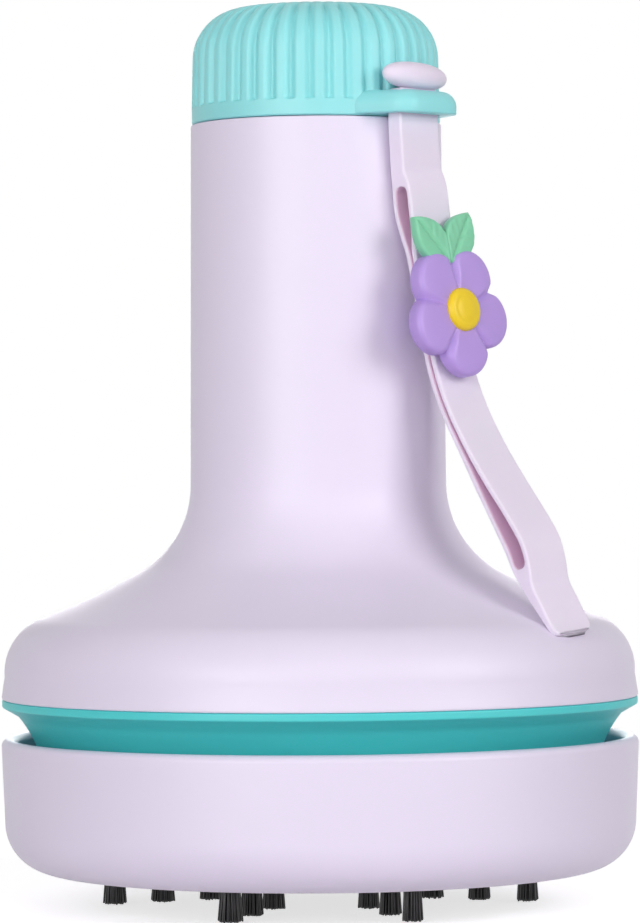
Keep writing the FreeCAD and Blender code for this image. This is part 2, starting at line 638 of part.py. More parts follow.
def ribbed_cap():
    """The mint twist cap: plain band with a slotted tab, fluted dome, keyed boss inside."""
    bore = "shaft_r + 0.05"
    rise = "cap_top_z - cap_crown_z"
    cap = turned("ribbed_cap_body", [
        ("0", "shaft_top_z + 0.4"),
        (bore, "shaft_top_z + 0.4"),
        (bore, "spigot_top_z + 0.4"),
        ("cap_boss_r", "spigot_top_z + 0.4"),
        ("cap_boss_r", "cap_top_z - 2.3"),
        ("cap_roof_r", "cap_top_z - 2.5"),
        ("cap_inner_r", "cap_shoulder_z - 0.4", "cap_roof_bend", -1),
        ("cap_inner_r", "spigot_top_z + 0.9"),
        ("cap_bore_r", "spigot_top_z + 0.5"),
        ("cap_bore_r", "cap_base_z"),
        ("cap_r - 0.2", "cap_base_z"),
        ("cap_r", "cap_base_z + 0.2"),
        ("cap_r", "band_top_z"),
        ("rib_top_r", "cap_shoulder_z"),
        ("cap_crown_r", "cap_crown_z", "cap_corner_bend", 1),
        ("0", "cap_top_z", f"(cap_crown_r ^ 2 + ({rise}) ^ 2) / (2 * ({rise}))", 1),
    ])
    path = draw_path(cap, "flute_path")
    rim = cap.newObject("Sketcher::SketchObject", "flute_section")
    rim.AttachmentSupport = [(origin_part(cap, "XY_Plane"), "")]
    rim.MapMode = "FlatFace"
    rim.setExpression("AttachmentOffset.Base.z", bound("band_top_z"))
    centre = "cap_r + flute_out"
    rim.addGeometry(Part.Circle(Vector(number(centre), 0, 0), Vector(0, 0, 1), size("flute_r")), False)
    rim.addConstraint([
        Sketcher.Constraint("PointOnObject", 0, 3, -1),
        Sketcher.Constraint("DistanceX", -1, 1, 0, 3, number(centre)),
        Sketcher.Constraint("Radius", 0, size("flute_r")),
    ])
    rim.setExpression("Constraints[1]", bound(centre))
    rim.setExpression("Constraints[2]", bound("flute_r"))
    flute = cap.newObject("PartDesign::SubtractivePipe", "flute")
    flute.Profile = rim
    flute.Spine = path
    cap.Tip = flute
    spread(cap, flute, "flute_count")
    cap.Placement = Placement(Vector(), Rotation(Vector(0, 0, 1), size("flute_turn")))
    key = block("cap_key", "key_thickness", "key_width", "shaft_top_z - spigot_top_z - 0.4", "key_x", "0",
                "spigot_top_z + 0.4")
    slot = block("tab_slot", "(neck_half + slot_gap) * 2", "strap_width + slot_gap * 2",
                 "tab_top_z - tab_base_z + 1.0", "neck_x", "strap_y", "tab_base_z - 0.5")
    keep(cut("ribbed_cap_slotted", fuse("ribbed_cap_keyed", cap, key, cap_tab()), slot), "ribbed_cap")


def cap_tab():
    """The cap's tab: a root inside the cap's wall, sides that close in to a round tip, a rounded top."""
    middle_x, middle_y = "(tab_reach - tab_corner_r)", "(tab_width / 2 - tab_corner_r)"
    side_x = f"({middle_x} + tab_corner_r * sin(tab_flare))"
    side_y = f"({middle_y} + tab_corner_r * cos(tab_flare))"
    root_y = f"({side_y} + ({side_x} - tab_root_x) * tan(tab_flare))"
    tab = doc.addObject("PartDesign::Body", "tab_body")
    blank = pad(tab, "tab", [
        ("tab_root_x", f"-{root_y}", "tab_root_r", -1),
        (side_x, f"-{side_y}"),
        ("tab_reach", f"-{middle_y}", "tab_corner_r", 1),
        ("tab_reach", middle_y),
        (side_x, side_y, "tab_corner_r", 1),
        ("tab_root_x", root_y),
    ], "tab_base_z", "tab_top_z - tab_base_z")
    soften(tab, "tab_rim", blank, "tab_round",
           lambda box: box.ZMin > number("tab_top_z") - 0.01 and box.XMax > number("tab_root_r") + 0.1)
    return tab


def soften(body, name, base, radius, wanted):
    """Round the edges of a body whose bounding boxes are wanted."""
    doc.recompute()
    rims = [f"Edge{place}" for place, edge in enumerate(body.Shape.Edges, start=1) if wanted(edge.BoundBox)]
    soft = body.newObject("PartDesign::Fillet", name)
    soft.Base = (base, rims)
    soft.setExpression("Radius", bound(radius))
    body.Tip = soft
    doc.recompute()


def draw_path(body, name):
    """The open line that a flute follows: up the dome's side and out through its corner."""
    path = body.newObject("Sketcher::SketchObject", name)
    path.AttachmentSupport = [(origin_part(body, "XZ_Plane"), "")]
    path.MapMode = "FlatFace"
    places = (("cap_r + flute_out", "band_top_z", 0, 1),
              ("rib_top_r + flute_out", "cap_shoulder_z", 0, 2),
              ("cap_crown_r - 0.3", "cap_crown_z + 1.0", 1, 2))
    bend_r = "cap_corner_bend + flute_out * 2"
    foot, bend, top = [Vector(number(x), number(y), 0) for x, y, _, _ in places]
    radius = number(bend_r)
    path.addGeometry(Part.LineSegment(foot, bend), False)
    path.addGeometry(Part.Arc(bend, arc_middle(bend, top, radius, 1), top), False)
    for x, y, edge, point in places:
        for kind, text in (("DistanceX", x), ("DistanceY", y)):
            index = path.addConstraint(Sketcher.Constraint(kind, -1, 1, edge, point, number(text)))
            path.setExpression(f"Constraints[{index}]", bound(text))
    path.addConstraint(Sketcher.Constraint("Coincident", 0, 2, 1, 1))
    index = path.addConstraint(Sketcher.Constraint("Radius", 1, radius))
    path.setExpression(f"Constraints[{index}]", bound(bend_r))
    return path


def switch_shaft():
    """The shaft between cap and switch, with its flat and its spring clip."""
    rod = cylinder("shaft_rod", "shaft_r", "shaft_top_z - shaft_base_z", z="shaft_base_z")
    flat = block("shaft_flat", "key_thickness + 0.5", "key_width + 2.8", "shaft_top_z - spigot_top_z",
                 "key_x + key_play", "0", "spigot_top_z + 0.3")
    groove = turned("clip_groove", [
        ("shaft_r - 0.5", "clip_z - 0.05"),
        ("shaft_r + 1.0", "clip_z - 0.05"),
        ("shaft_r + 1.0", "clip_z + clip_plate + 0.05"),
        ("shaft_r - 0.5", "clip_z + clip_plate + 0.05"),
    ])
    keep(cut("switch_shaft_cut", rod, flat, groove), "switch_shaft")
    ring = cylinder("clip_blank", "shaft_r + 2.0", "clip_plate", z="clip_z")
    bore = cylinder("clip_bore", "shaft_r - 0.45", "clip_plate + 2.0", z="clip_z - 1.0")
    gap = block("clip_gap", "6.0", "3.2", "clip_plate + 2.0", "4.0", "0", "clip_z - 1.0")
    keep(cut("shaft_clip_cut", ring, bore, gap), "shaft_clip")


def strap_knob():
    """The silicone bead above the tab and its neck through the tab's slot."""
    bead = doc.addObject("PartDesign::Body", "strap_knob_body")
    blank = pad(bead, "bead",
                stadium("strap_y", "knob_x", "(knob_length - knob_width) / 2", "(knob_width / 2)", True),
                "knob_base_z", "knob_height")
    soften(bead, "bead_round", blank, "bead_round_r", lambda box: box.ZLength < 0.001)
    low, high = "strap_y - strap_width / 2", "strap_y + strap_width / 2"
    pad(bead, "neck", [
        ("neck_x - neck_half", low),
        ("neck_x + neck_half", low),
        ("neck_x + neck_half", high),
        ("neck_x - neck_half", high),
    ], "tab_base_z + neck_rise", "knob_base_z - tab_base_z + 1.0 - neck_rise")
    keep(bead, "strap_knob")


# ---------------------------------------------------------------- strap and charm

# Stations down the strap from its pivot: outward, down, half thickness, half gap between the two bands.
STRAP_TOP = ((0.0, 0.0, 1.35, None), (-0.08, 4.4, 1.25, None), (-0.07, 5.9, 1.28, None),
             (0.3, 7.8, 1.6, 0.0), (0.47, 11.0, 1.72, 1.05), (0.98, 14.4, 1.35, 0.62))
STRAP_FOOT = ((5.5, 37.4, 0.9, 0.13), (8.27, 42.7, 0.97, 0.2), (11.06, 47.4, 1.3, 0.5),
              (13.9, 51.9, 1.65, 0.85), (15.96, 55.4, 1.84, 1.0), (16.94, 58.2, 1.6, 0.0),
              (17.95, 60.8, 0.95, None), (19.6, 63.3, 0.72, None), (21.5, 65.4, 0.55, None),
              (22.25, 66.1, 0.5, None))
PINCH_OUT = 1.32
PINCH_GAP = 0.13


def strap_frame():
    """The strap's own frame: X outward, Y across, Z up, with its origin on the pivot."""
    lean = Rotation(Vector(1, 0, 0), size("strap_lean"))
    return Placement(Vector(size("strap_x"), size("strap_y"), size("pivot_z")), lean)


def charm_frame():
    """The charm's own frame, halfway along the straight stretch of the strap."""
    tilt = size("pinch_tilt")
    drop = size("charm_drop")
    out = PINCH_OUT + (drop - size("pinch_top")) * math.tan(math.radians(tilt))
    return strap_frame() * Placement(Vector(out, 0, -drop), Rotation(Vector(0, 1, 0), -tilt))


def strap_stations():
    """All stations as points with their sideways directions."""
    slope = math.tan(math.radians(size("pinch_tilt")))
    top, foot = size("pinch_top"), size("pinch_foot")
    pinch = ((PINCH_OUT, top, size("band_half"), PINCH_GAP),
             (PINCH_OUT + (foot - top) * slope, foot, size("band_half"), PINCH_GAP))
    rows = STRAP_TOP + pinch + STRAP_FOOT
    points = [Vector(out, 0, -down) for out, down, _, _ in rows]
    sides = []
    for place in range(len(rows)):
        along = points[min(place + 1, len(rows) - 1)] - points[max(place - 1, 0)]
        if rows[place] in pinch:
            along = points[len(STRAP_TOP) + 1] - points[len(STRAP_TOP)]
        if place == 0:
            along = Vector(0, 0, -1)
        sides.append(Vector(-along.z, 0, along.x).normalize())
    return rows, points, sides


def contour(points, ends):
    """A smooth edge through points, straight between the two at the ends of the pinched stretch."""
    first, last = ends
    run = points[last] - points[first]
    edges = []
    for part, start_way, end_way in ((points[:first + 1], None, run), (points[last:], run, None)):
        curve = Part.BSplineCurve()
        begin = start_way or (part[1] - part[0])
        finish = end_way or (part[-1] - part[-2])
        curve.interpolate(Points=part, InitialTangent=Vector(begin).normalize(),
                          FinalTangent=Vector(finish).normalize(), Scale=False)
        edges.append(curve.toShape())
    return [edges[0], Part.makeLine(points[first], points[last]), edges[1]]


def strap_loop():
    """The silicone strap: solid top, two bands with a slot between them, solid tail."""
    rows, points, sides = strap_stations()
    pinch = (len(STRAP_TOP), len(STRAP_TOP) + 1)
    outer = [point + side * row[2] for row, point, side in zip(rows, points, sides)]
    inner = [point - side * row[2] for row, point, side in zip(rows, points, sides)]
    knuckle = Part.Arc(inner[0], Vector(0, 0, size("knuckle_r")), outer[0]).toShape()
    rim = [knuckle] + contour(outer, pinch) + [Part.makeLine(outer[-1], inner[-1])] + contour(inner, pinch)
    split = [place for place, row in enumerate(rows) if row[3] is not None]
    ends = (pinch[0] - split[0], pinch[1] - split[0])
    front = [points[place] + sides[place] * rows[place][3] for place in split]
    back = [points[place] - sides[place] * rows[place][3] for place in split]
    hole = contour(front, ends) + contour(back, ends)
    width = size("strap_width")
    profile = Part.Face([Part.Wire(Part.__sortEdges__(rim)), Part.Wire(Part.__sortEdges__(hole))],
                        "Part::FaceMakerBullseye")
    profile.translate(Vector(0, -width, 0))
    solid = profile.extrude(Vector(0, 2 * width, 0))
    half = width / 2
    foot = -rows[-1][1] - size("strap_tail_past")
    round_r = size("strap_tail_corner_r")
    head = size("knuckle_r") + 0.5
    corners = [Vector(0, half, head), Vector(0, half, foot + round_r), Vector(0, half - round_r, foot),
               Vector(0, -half + round_r, foot), Vector(0, -half, foot + round_r), Vector(0, -half, head)]
    bend = round_r * (1 - math.sqrt(0.5))
    edges = [Part.makeLine(corners[0], corners[1]),
             Part.Arc(corners[1], Vector(0, half - bend, foot + bend), corners[2]).toShape(),
             Part.makeLine(corners[2], corners[3]),
             Part.Arc(corners[3], Vector(0, -half + bend, foot + bend), corners[4]).toShape(),
             Part.makeLine(corners[4], corners[5]),
             Part.makeLine(corners[5], corners[0])]
    front_face = Part.Face(Part.Wire(edges))
    front_face.translate(Vector(-10, 0, 0))
    outline = front_face.extrude(Vector(50, 0, 0))
    keep(made("strap_band", solid.common(outline), strap_frame()), "strap_loop")


def rod_along_x(radius, start, length, y, z):
    """A cylinder along X."""
    return Part.makeCylinder(radius, length, Vector(start, y, z), Vector(1, 0, 0))


def charm():
    """A five-petal flower with two leaves on a slider that runs along the strap's straight stretch."""
    wall, gap = size("slider_wall"), size("slider_gap")
    length = size("slider_length")
    half = size("band_half") + gap
    wide = size("strap_width") / 2 + gap
    centre_z = size("flower_z")
    case = Part.makeBox(2 * (half + wall), 2 * (wide + wall), length,
                        Vector(-half - wall, -wide - wall, centre_z - length / 2))
    uprights = [edge for edge in case.Edges if edge.BoundBox.ZLength > length - 0.1]
    case = case.makeFillet(size("slider_round"), uprights)
    way = Part.makeBox(2 * half, 2 * wide, length + 2, Vector(-half, -wide, centre_z - length / 2 - 1))
    keep(made("slider", case.cut(way), charm_frame()), "charm_slider")
    front = half + wall
    height = size("petal_height")
    petals = rod_along_x(size("petal_ring_r") * 0.8, front, height, 0, centre_z)
    count = int(size("petal_count"))
    for place in range(count):
        angle = math.radians(360 / count * place - 90)
        y = size("petal_ring_r") * math.cos(angle)
        z = centre_z + size("petal_ring_r") * math.sin(angle)
        petals = petals.fuse(rod_along_x(size("petal_r"), front, height, y, z))
    petals = petals.removeSplitter()
    rims = [edge for edge in petals.Edges
            if edge.BoundBox.XLength < 0.001 and edge.BoundBox.XMin > front + height - 0.01]
    petals = petals.makeFillet(size("petal_round"), rims)
    keep(made("flower", petals, charm_frame()), "charm_flower")
    button = rod_along_x(size("button_r"), front + height, size("button_height"), 0, centre_z)
    outer_rim = max((edge for edge in button.Edges if edge.BoundBox.XLength < 0.001),
                    key=lambda edge: edge.BoundBox.XMin)
    button = button.makeFillet(size("button_round"), [outer_rim])
    keep(made("flower_button", button, charm_frame()), "charm_button")
    leaves = []
    root = Vector(front + size("leaf_lift"), 0, centre_z + size("petal_ring_r") + size("leaf_root"))
    for side in (-1, 1):
        leaves.append(leaf(root, side * size("leaf_swing")).cut(petals))
    keep(made("leaf_pair", Part.makeCompound([solid for item in leaves for solid in item.Solids]),
              charm_frame()), "charm_leaves")


def leaf(root, swing):
    """One lens-shaped leaf that grows from root, swung sideways from upright."""
    length, half = size("leaf_length"), size("leaf_width") / 2
    tip = Vector(0, 0, length)
    edges = [Part.Arc(Vector(), Vector(0, side * half, length * 0.5), tip).toShape() for side in (-1, 1)]
    blade = Part.Face(Part.Wire(Part.__sortEdges__(edges))).extrude(Vector(size("leaf_height"), 0, 0))
    blade.Placement = Placement(root, Rotation(Vector(1, 0, 0), swing))
    return blade


# ---------------------------------------------------------------- brush head


def base_dish():
    """The lavender dish: rounded wall, screw bosses on its floor and a recess below for the brush plate."""
    inner = "dish_wall + 0.3"
    dish = turned("base_dish_body", [
        ("mouth_r", "dish_floor_z"),
        ("recess_r", "dish_floor_z"),
        ("recess_r", "dish_base_z"),
        ("dish_low_r - dish_corner_r", "dish_base_z"),
        ("dish_low_r", "dish_base_z + dish_corner_r", "dish_corner_r", 1),
        ("dish_r", "dish_top_z - dish_wall / 2"),
        ("dish_r - dish_wall / 2", "dish_top_z", "dish_wall / 2", 1),
        ("dish_r - dish_wall", "dish_top_z - dish_wall / 2", "dish_wall / 2", 1),
        (f"dish_low_r - ({inner})", "dish_floor_top_z + dish_bend"),
        (f"dish_low_r - ({inner}) - dish_bend", "dish_floor_top_z", "dish_bend", -1),
        ("mouth_r", "dish_floor_top_z"),
    ])
    bosses = []
    holes = []
    for place, degrees in enumerate(SCREW_SPOKES):
        x, y = ring_places("plate_screw_r", FRONT + degrees)
        bosses.append(cylinder(f"dish_boss_{place}", "dish_boss_r", "dish_boss_height", x, y,
                               "dish_floor_z + 0.5"))
        holes.append(cylinder(f"dish_hole_{place}", "plate_shank_r + 0.05", "dish_boss_height + 0.6", x, y,
                              "dish_floor_z - 0.5"))
    keep(cut("base_dish_drilled", fuse("base_dish_bossed", dish, *bosses), *holes), "base_dish")


def dust_cup():
    """The bin: floor, wall with a seal groove, and the intake tube up its middle."""
    groove = "ring_seat_r - ring_wire_r - 0.05"
    keep(turned("dust_cup_body", [
        ("tube_bore_r", "dish_floor_top_z"),
        ("cup_r", "dish_floor_top_z"),
        ("cup_r", "ring_z - ring_wire_r - 0.1"),
        (groove, "ring_z - ring_wire_r - 0.1"),
        (groove, "ring_z + ring_wire_r + 0.1"),
        ("cup_r", "ring_z + ring_wire_r + 0.1"),
        ("cup_r", "cup_top_z"),
        ("cup_r - cup_wall", "cup_top_z"),
        ("cup_r - cup_wall", "cup_floor_top_z"),
        ("tube_r", "cup_floor_top_z"),
        ("tube_r", "tube_top_z"),
        ("tube_bore_r", "tube_top_z"),
    ]), "dust_cup")
    seal = bind(doc.addObject("Part::Torus", "seal_ring"), Radius1="ring_seat_r", Radius2="ring_wire_r")
    keep(move(seal, z="ring_z"), "cup_o_ring")


def dust_filter():
    """The filter's frame with its cross bars, and the pleated paper inside it."""
    rim = turned("filter_rim", [
        ("filter_bore_r - filter_ledge", "filter_base_z"),
        ("filter_r", "filter_base_z"),
        ("filter_r", "cup_top_z + 0.1"),
        ("cup_r - 0.1", "cup_top_z + 0.1"),
        ("cup_r - 0.1", "filter_flange_z"),
        ("filter_bore_r", "filter_flange_z"),
        ("filter_bore_r", "filter_base_z + filter_bar"),
        ("filter_bore_r - filter_ledge", "filter_base_z + filter_bar"),
    ])
    long_way = "filter_bore_r * 2"
    bars = [block("filter_bar_x", long_way, "filter_bar_width", "filter_bar", z="filter_base_z"),
            block("filter_bar_y", "filter_bar_width", long_way, "filter_bar", z="filter_base_z")]
    keep(fuse("filter_frame_barred", rim, *bars), "filter_frame")
    radius = size("filter_bore_r") - 0.1
    low, high = size("filter_base_z") + size("filter_bar") + 0.1, size("filter_flange_z") - 0.6
    paper = size("paper")
    pitch = size("pleat_pitch")
    folds = 2 * int(radius / pitch) + 4
    start = -folds * pitch / 2
    lower = [Vector(start + place * pitch, -radius - 1, low if place % 2 else high - paper)
             for place in range(folds + 1)]
    upper = [point + Vector(0, 0, paper) for point in reversed(lower)]
    sheet_face = Part.Face(Part.makePolygon(lower + upper + [lower[0]]))
    folded = sheet_face.extrude(Vector(0, 2 * radius + 2, 0))
    keep(made("pleats", folded.common(Part.makeCylinder(radius, high - low + 2, Vector(0, 0, low - 1)))),
         "filter_media")


def tuft_places():
    """Where each tuft stands: three on each of six spokes."""
    return [ring_places(f"spoke_first_r + spoke_pitch * {step}", FRONT + degrees)
            for degrees in SPOKES for step in range(int(size("tufts_per_spoke")))]


def brush_plate():
    """The round plate that carries the tufts, the tufts, and the screws that hold the plate."""
    blank = cylinder("plate_blank", "plate_r", "dish_floor_z - dish_base_z - 0.1", z="dish_base_z")
    tools = [cylinder("plate_mouth", "mouth_r", "4.0", z="dish_base_z - 1.0")]
    screws = []
    for place, degrees in enumerate(SCREW_SPOKES):
        x, y = ring_places("plate_screw_r", FRONT + degrees)
        tools.append(cylinder(f"plate_sink_{place}", "plate_head_r + 0.15", "2.0", x, y, "dish_base_z - 1.0"))
        tools.append(cylinder(f"plate_hole_{place}", "plate_shank_r + 0.2", "4.0", x, y, "dish_base_z - 1.0"))
        screws.append(pan_screw("plate", place, x, y, "dish_base_z + 1.0", 1))
    tufts = []
    for place, (x, y) in enumerate(tuft_places()):
        tools.append(cylinder(f"tuft_hole_{place}", "tuft_hole_r", "4.0", x, y, "dish_base_z - 1.0"))
        tuft = doc.addObject("Part::Cone", f"tuft_{place}")
        bind(tuft, Radius1="tuft_tip_r", Radius2="tuft_root_r", Height="dish_floor_z - 0.1")
        tufts.append(move(tuft, x, y))
    keep(cut("brush_plate_drilled", blank, *tools), "brush_plate")
    keep(group("plate_screw_set", *screws), "plate_screws")
    keep(group("tuft_set", *tufts), "bristle_tufts")


def check():
    """Stop before anything is written if an object failed or a shape is not sound."""
    for thing in doc.Objects:
        if "Invalid" in thing.State or "Error" in thing.State:
            raise RuntimeError(f"{thing.Label} did not build: {thing.State}")
    for thing in pieces:
        if thing.Shape.isNull() or not thing.Shape.isValid():
            raise RuntimeError(f"{thing.Label} has no sound shape")


def main():
    """Build every sub-part and write one STEP file for each."""
    fill_sheet()
    for build in (upper_shell, skirt_ring, fan_housing, motor_bracket, motor, battery, inner_frame,
                  charge_board, rotary_switch, neck_plate, clamp_screws, rotor, ribbed_cap, switch_shaft,
                  strap_knob, strap_loop, charm, base_dish, dust_cup, dust_filter, brush_plate):
        build()
    doc.recompute()
    check()
    os.makedirs("parts", exist_ok=True)
    for thing in pieces:
        thing.Shape.exportStep(os.path.join("parts", f"{thing.Label}.step"))
        print(thing.Label, len(thing.Shape.Solids), round(thing.Shape.Volume, 1))


main()
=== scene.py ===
import random
from math import asin, ceil, copysign, cos, degrees, exp, pi, radians, sin, sqrt, tan, tau

import bmesh
import bpy
from bpy.props import FloatProperty, FloatVectorProperty, IntProperty, PointerProperty
from mathutils import Matrix, Vector


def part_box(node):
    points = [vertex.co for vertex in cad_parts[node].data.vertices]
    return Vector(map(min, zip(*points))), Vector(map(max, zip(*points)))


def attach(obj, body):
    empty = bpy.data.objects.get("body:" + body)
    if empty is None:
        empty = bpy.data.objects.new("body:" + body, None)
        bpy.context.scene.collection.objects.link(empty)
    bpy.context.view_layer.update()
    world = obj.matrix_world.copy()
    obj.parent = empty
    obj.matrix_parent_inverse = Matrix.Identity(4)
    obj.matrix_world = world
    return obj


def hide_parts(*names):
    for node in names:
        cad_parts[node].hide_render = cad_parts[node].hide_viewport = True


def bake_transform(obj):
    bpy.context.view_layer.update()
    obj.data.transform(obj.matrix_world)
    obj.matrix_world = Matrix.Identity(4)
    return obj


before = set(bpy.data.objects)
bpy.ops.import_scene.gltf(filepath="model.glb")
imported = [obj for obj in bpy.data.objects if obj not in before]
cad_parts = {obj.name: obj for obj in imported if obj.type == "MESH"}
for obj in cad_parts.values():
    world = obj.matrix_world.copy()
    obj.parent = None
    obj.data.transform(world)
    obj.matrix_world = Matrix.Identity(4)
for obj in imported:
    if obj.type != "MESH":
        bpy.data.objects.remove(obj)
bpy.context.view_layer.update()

bl_info = {
    "name": "Desk Vacuum",
    "version": (1, 0, 0),
    "blender": (4, 5, 0),
    "location": "3D View > Sidebar > Desk Vacuum",
    "description": "Builds the shells, cap, strap, charm and brush head of a desk vacuum round its frame",
    "category": "Object",
}

MM = 0.001
# points closer than this, in millimetres, are one
WELD_GAP = 0.0004


def linear(text):
    """An sRGB hex colour as a linear one with full alpha."""
    parts = [int(text[place:place + 2], 16) / 255 for place in (1, 3, 5)]
    return [part / 12.92 if part <= 0.04045 else ((part + 0.055) / 1.055) ** 2.4 for part in parts] + [1.0]


# -------- settings


def length(label, text, millimetres):
    """A length that the sidebar shows in the scene's unit."""
    return FloatProperty(name=label, description=text, default=millimetres * MM, unit="LENGTH", precision=5)


def colour(label, text, value):
    """A colour with its swatch."""
    return FloatVectorProperty(name=label, description=text, default=linear(value), size=4,
                               min=0.0, max=1.0, subtype="COLOR")


def tilt(label, text, value):
    """An angle that the sidebar shows in degrees."""
    return FloatProperty(name=label, description=text, default=radians(value), subtype="ANGLE")


def level(label, text, value):
    """A light's level, where 1 lights a white face that looks at it to full white."""
    return FloatProperty(name=label, description=text, default=value)


class VacuumSizes(bpy.types.PropertyGroup):
    """Sizes that a user would change."""

    edge: length("Edge radius", "Rounding of the shells' edges", 0.3)
    flute_count: IntProperty(name="Flutes", description="Grooves round the cap", default=40, min=3)
    flute_depth: length("Flute depth", "How deep the cap's grooves are", 0.72)
    strap_width: length("Strap width", "Width of the hand strap", 7.4)
    strap_edge: length("Strap edge radius", "Rounding of the strap's edges", 0.35)
    petal_count: IntProperty(name="Petals", description="Petals on the charm", default=5, min=3)
    petal_radius: length("Petal radius", "Radius of one petal", 3.9)
    petal_ring: length("Petal ring", "How far a petal's centre is from the flower's", 4.9)
    filament_count: IntProperty(name="Filaments", description="Filaments in one tuft", default=95, min=1)
    filament_width: length("Filament width", "Thickness of one filament", 0.26)


class VacuumColours(bpy.types.PropertyGroup):
    """Colours that a user would change."""

    shell: colour("Shell", "Upper shell and dish", "#e6dcf0")
    cap: colour("Cap", "Twist cap and its tab", "#93e0e3")
    # painted shade: the skirt is moulded in the cap's mint plastic, drawn a deeper teal for the shade under
    # the shell's overhang
    skirt: colour("Skirt", "Ring under the shell", "#4accce")
    strap: colour("Strap", "Hand strap and its bead", "#ebe0f2")
    # painted shade: the slot's faces are the strap's own silicone, drawn pinker and darker for the shade
    # between the two bands
    slot: colour("Slot", "Between the strap's two bands", "#e8c8e0")
    petals: colour("Petals", "The charm's petals and sleeve", "#b596de")
    leaves: colour("Leaves", "The charm's leaves", "#7fcca6")
    button: colour("Button", "Middle of the charm", "#ecca10")
    bristles: colour("Bristles", "Brush filaments", "#1c1b1e")
    floor: colour("Floor", "The ground under the vacuum", "#ebe9eb")


class StageSettings(bpy.types.PropertyGroup):
    """Camera and lights."""

    azimuth: tilt("Azimuth", "Where the camera stands, from the -Y side", 45.0)
    distance: length("Distance", "From the vacuum's axis to the camera", 582.0)
    height: length("Height", "Height of the camera", 58.0)
    lens: FloatProperty(name="Lens", description="Focal length", default=167.7, unit="CAMERA")
    pitch: tilt("Pitch", "Upward tilt", 0.18)
    roll: tilt("Roll", "Turn about the view", -0.4)
    pan: tilt("Pan", "Turn to the side", -0.023)
    key: level("Key light", "Level of the main light", 0.52)
    front: level("Front light", "Level of the light over the camera", 0.16)
    fill: level("Fill light", "Level of the light from the right", 0.37)
    top: level("Top light", "Level of the light from above", 0.15)
    back: level("Back light", "Level of the light from behind", 0.3)
    sky: level("Room light", "Level of the light from all round", 0.11)


# -------- outlines and meshes


def trace(outline, step=4.0):
    """Points along an outline. Each corner is (x, y), or (x, y, radius, turn) when an arc leads to it."""
    points = []
    for place, corner in enumerate(outline):
        end = Vector(corner[:2])
        if len(corner) == 4:
            start = Vector(outline[place - 1][:2])
            radius, turn = corner[2:]
            half = (end - start) / 2
            left = Vector((-half.y, half.x)).normalized() * turn
            centre = start + half + left * sqrt(max(radius ** 2 - half.length_squared, 0.0))
            sweep = 2 * asin(min(half.length / radius, 1.0)) * turn
            count = max(2, ceil(abs(degrees(sweep)) / step))
            for part in range(1, count):
                points.append(centre + Matrix.Rotation(sweep * part / count, 2) @ (start - centre))
        points.append(end)
    return points


def ease(points, radius, sharp=24.0, steps=4):
    """Round the sharp corners of a closed outline, with one more point beside each to hold the flats."""
    eased = []
    for place, here in enumerate(points):
        back = points[place - 1] - here
        ahead = points[(place + 1) % len(points)] - here
        if min(back.length, ahead.length) < 1e-6:
            continue
        turn = pi - back.angle(ahead)
        if degrees(turn) < sharp or here.x < 1e-6:
            eased.append(here)
            continue
        reach = min(radius * tan(turn / 2), 0.4 * back.length, 0.4 * ahead.length)
        start = here + back.normalized() * reach
        end = here + ahead.normalized() * reach
        eased.append(here + back.normalized() * reach * 1.2)
        for part in range(steps + 1):
            along = part / steps
            eased.append(start * (1 - along) ** 2 + here * 2 * along * (1 - along) + end * along ** 2)
        eased.append(here + ahead.normalized() * reach * 1.2)
    return eased


def through(keys):
    """A smooth function through (place, value) pairs."""
    def slope(place):
        first, last = max(place - 1, 0), min(place + 1, len(keys) - 1)
        return (keys[last][1] - keys[first][1]) / (keys[last][0] - keys[first][0])

    def value(at):
        place = 0
        while place < len(keys) - 2 and at > keys[place + 1][0]:
            place += 1
        (low, start), (high, end) = keys[place], keys[place + 1]
        span = high - low
        part = min(max((at - low) / span, 0.0), 1.0)
        lift = (2 * part ** 3 - 3 * part ** 2 + 1) * start + (3 * part ** 2 - 2 * part ** 3) * end
        lift += (part ** 3 - 2 * part ** 2 + part) * span * slope(place)
        return lift + (part ** 3 - part ** 2) * span * slope(place + 1)

    return value


def blur(part):
    """A soft step from 0 to 1."""
    part = min(max(part, 0.0), 1.0)
    return part * part * (3 - 2 * part)


def chosen(context):
    """The user's sizes and colours."""
    return context.scene.vacuum_sizes, context.scene.vacuum_colours


def weld(mesh, gap):
    """Merge the points that lie on each other and turn every face outwards."""
    grid = bmesh.new()
    grid.from_mesh(mesh)
    bmesh.ops.remove_doubles(grid, verts=grid.verts, dist=gap)
    bmesh.ops.recalc_face_normals(grid, faces=grid.faces)
    grid.to_mesh(mesh)
    grid.free()


def put(name, data):
    """A new object in the scene."""
    thing = bpy.data.objects.new(name, data)
    bpy.context.scene.collection.objects.link(thing)
    return thing


def piece(name, mesh, finish, body, slot, sharp):
    """Put a mesh in the scene as a piece that rides on a body."""
    mesh.transform(Matrix.Scale(MM, 4))
    weld(mesh, WELD_GAP * MM)
    mesh.shade_smooth()
    mesh.set_sharp_from_angle(angle=radians(sharp))
    thing = put(name, mesh)
    thing.data.materials.append(finish)
    if body:
        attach(thing, body)
    return thing


def rounding(radius, parts):
    """Distances (from the first face, from the second) of points along the rounding between two faces."""
    angles = [pi / 2 * part / parts for part in range(parts + 1)]
    return [(radius * (1 - cos(angle)), radius * (1 - sin(angle))) for angle in angles]


def weave(rows, steps, place, closed=False):
    """A mesh of rings: place(row, step) gives each point, and the rows close on themselves if closed."""
    points = [place(row, step) for row in range(rows) for step in range(steps)]
    faces = []
    for row in range(rows if closed else rows - 1):
        ahead = (row + 1) % rows
        for step in range(steps):
            beside = (step + 1) % steps
            faces.append((row * steps + step, row * steps + beside,
                          ahead * steps + beside, ahead * steps + step))
    mesh = bpy.data.meshes.new("weave")
    mesh.from_pydata(points, [], faces)
    return mesh


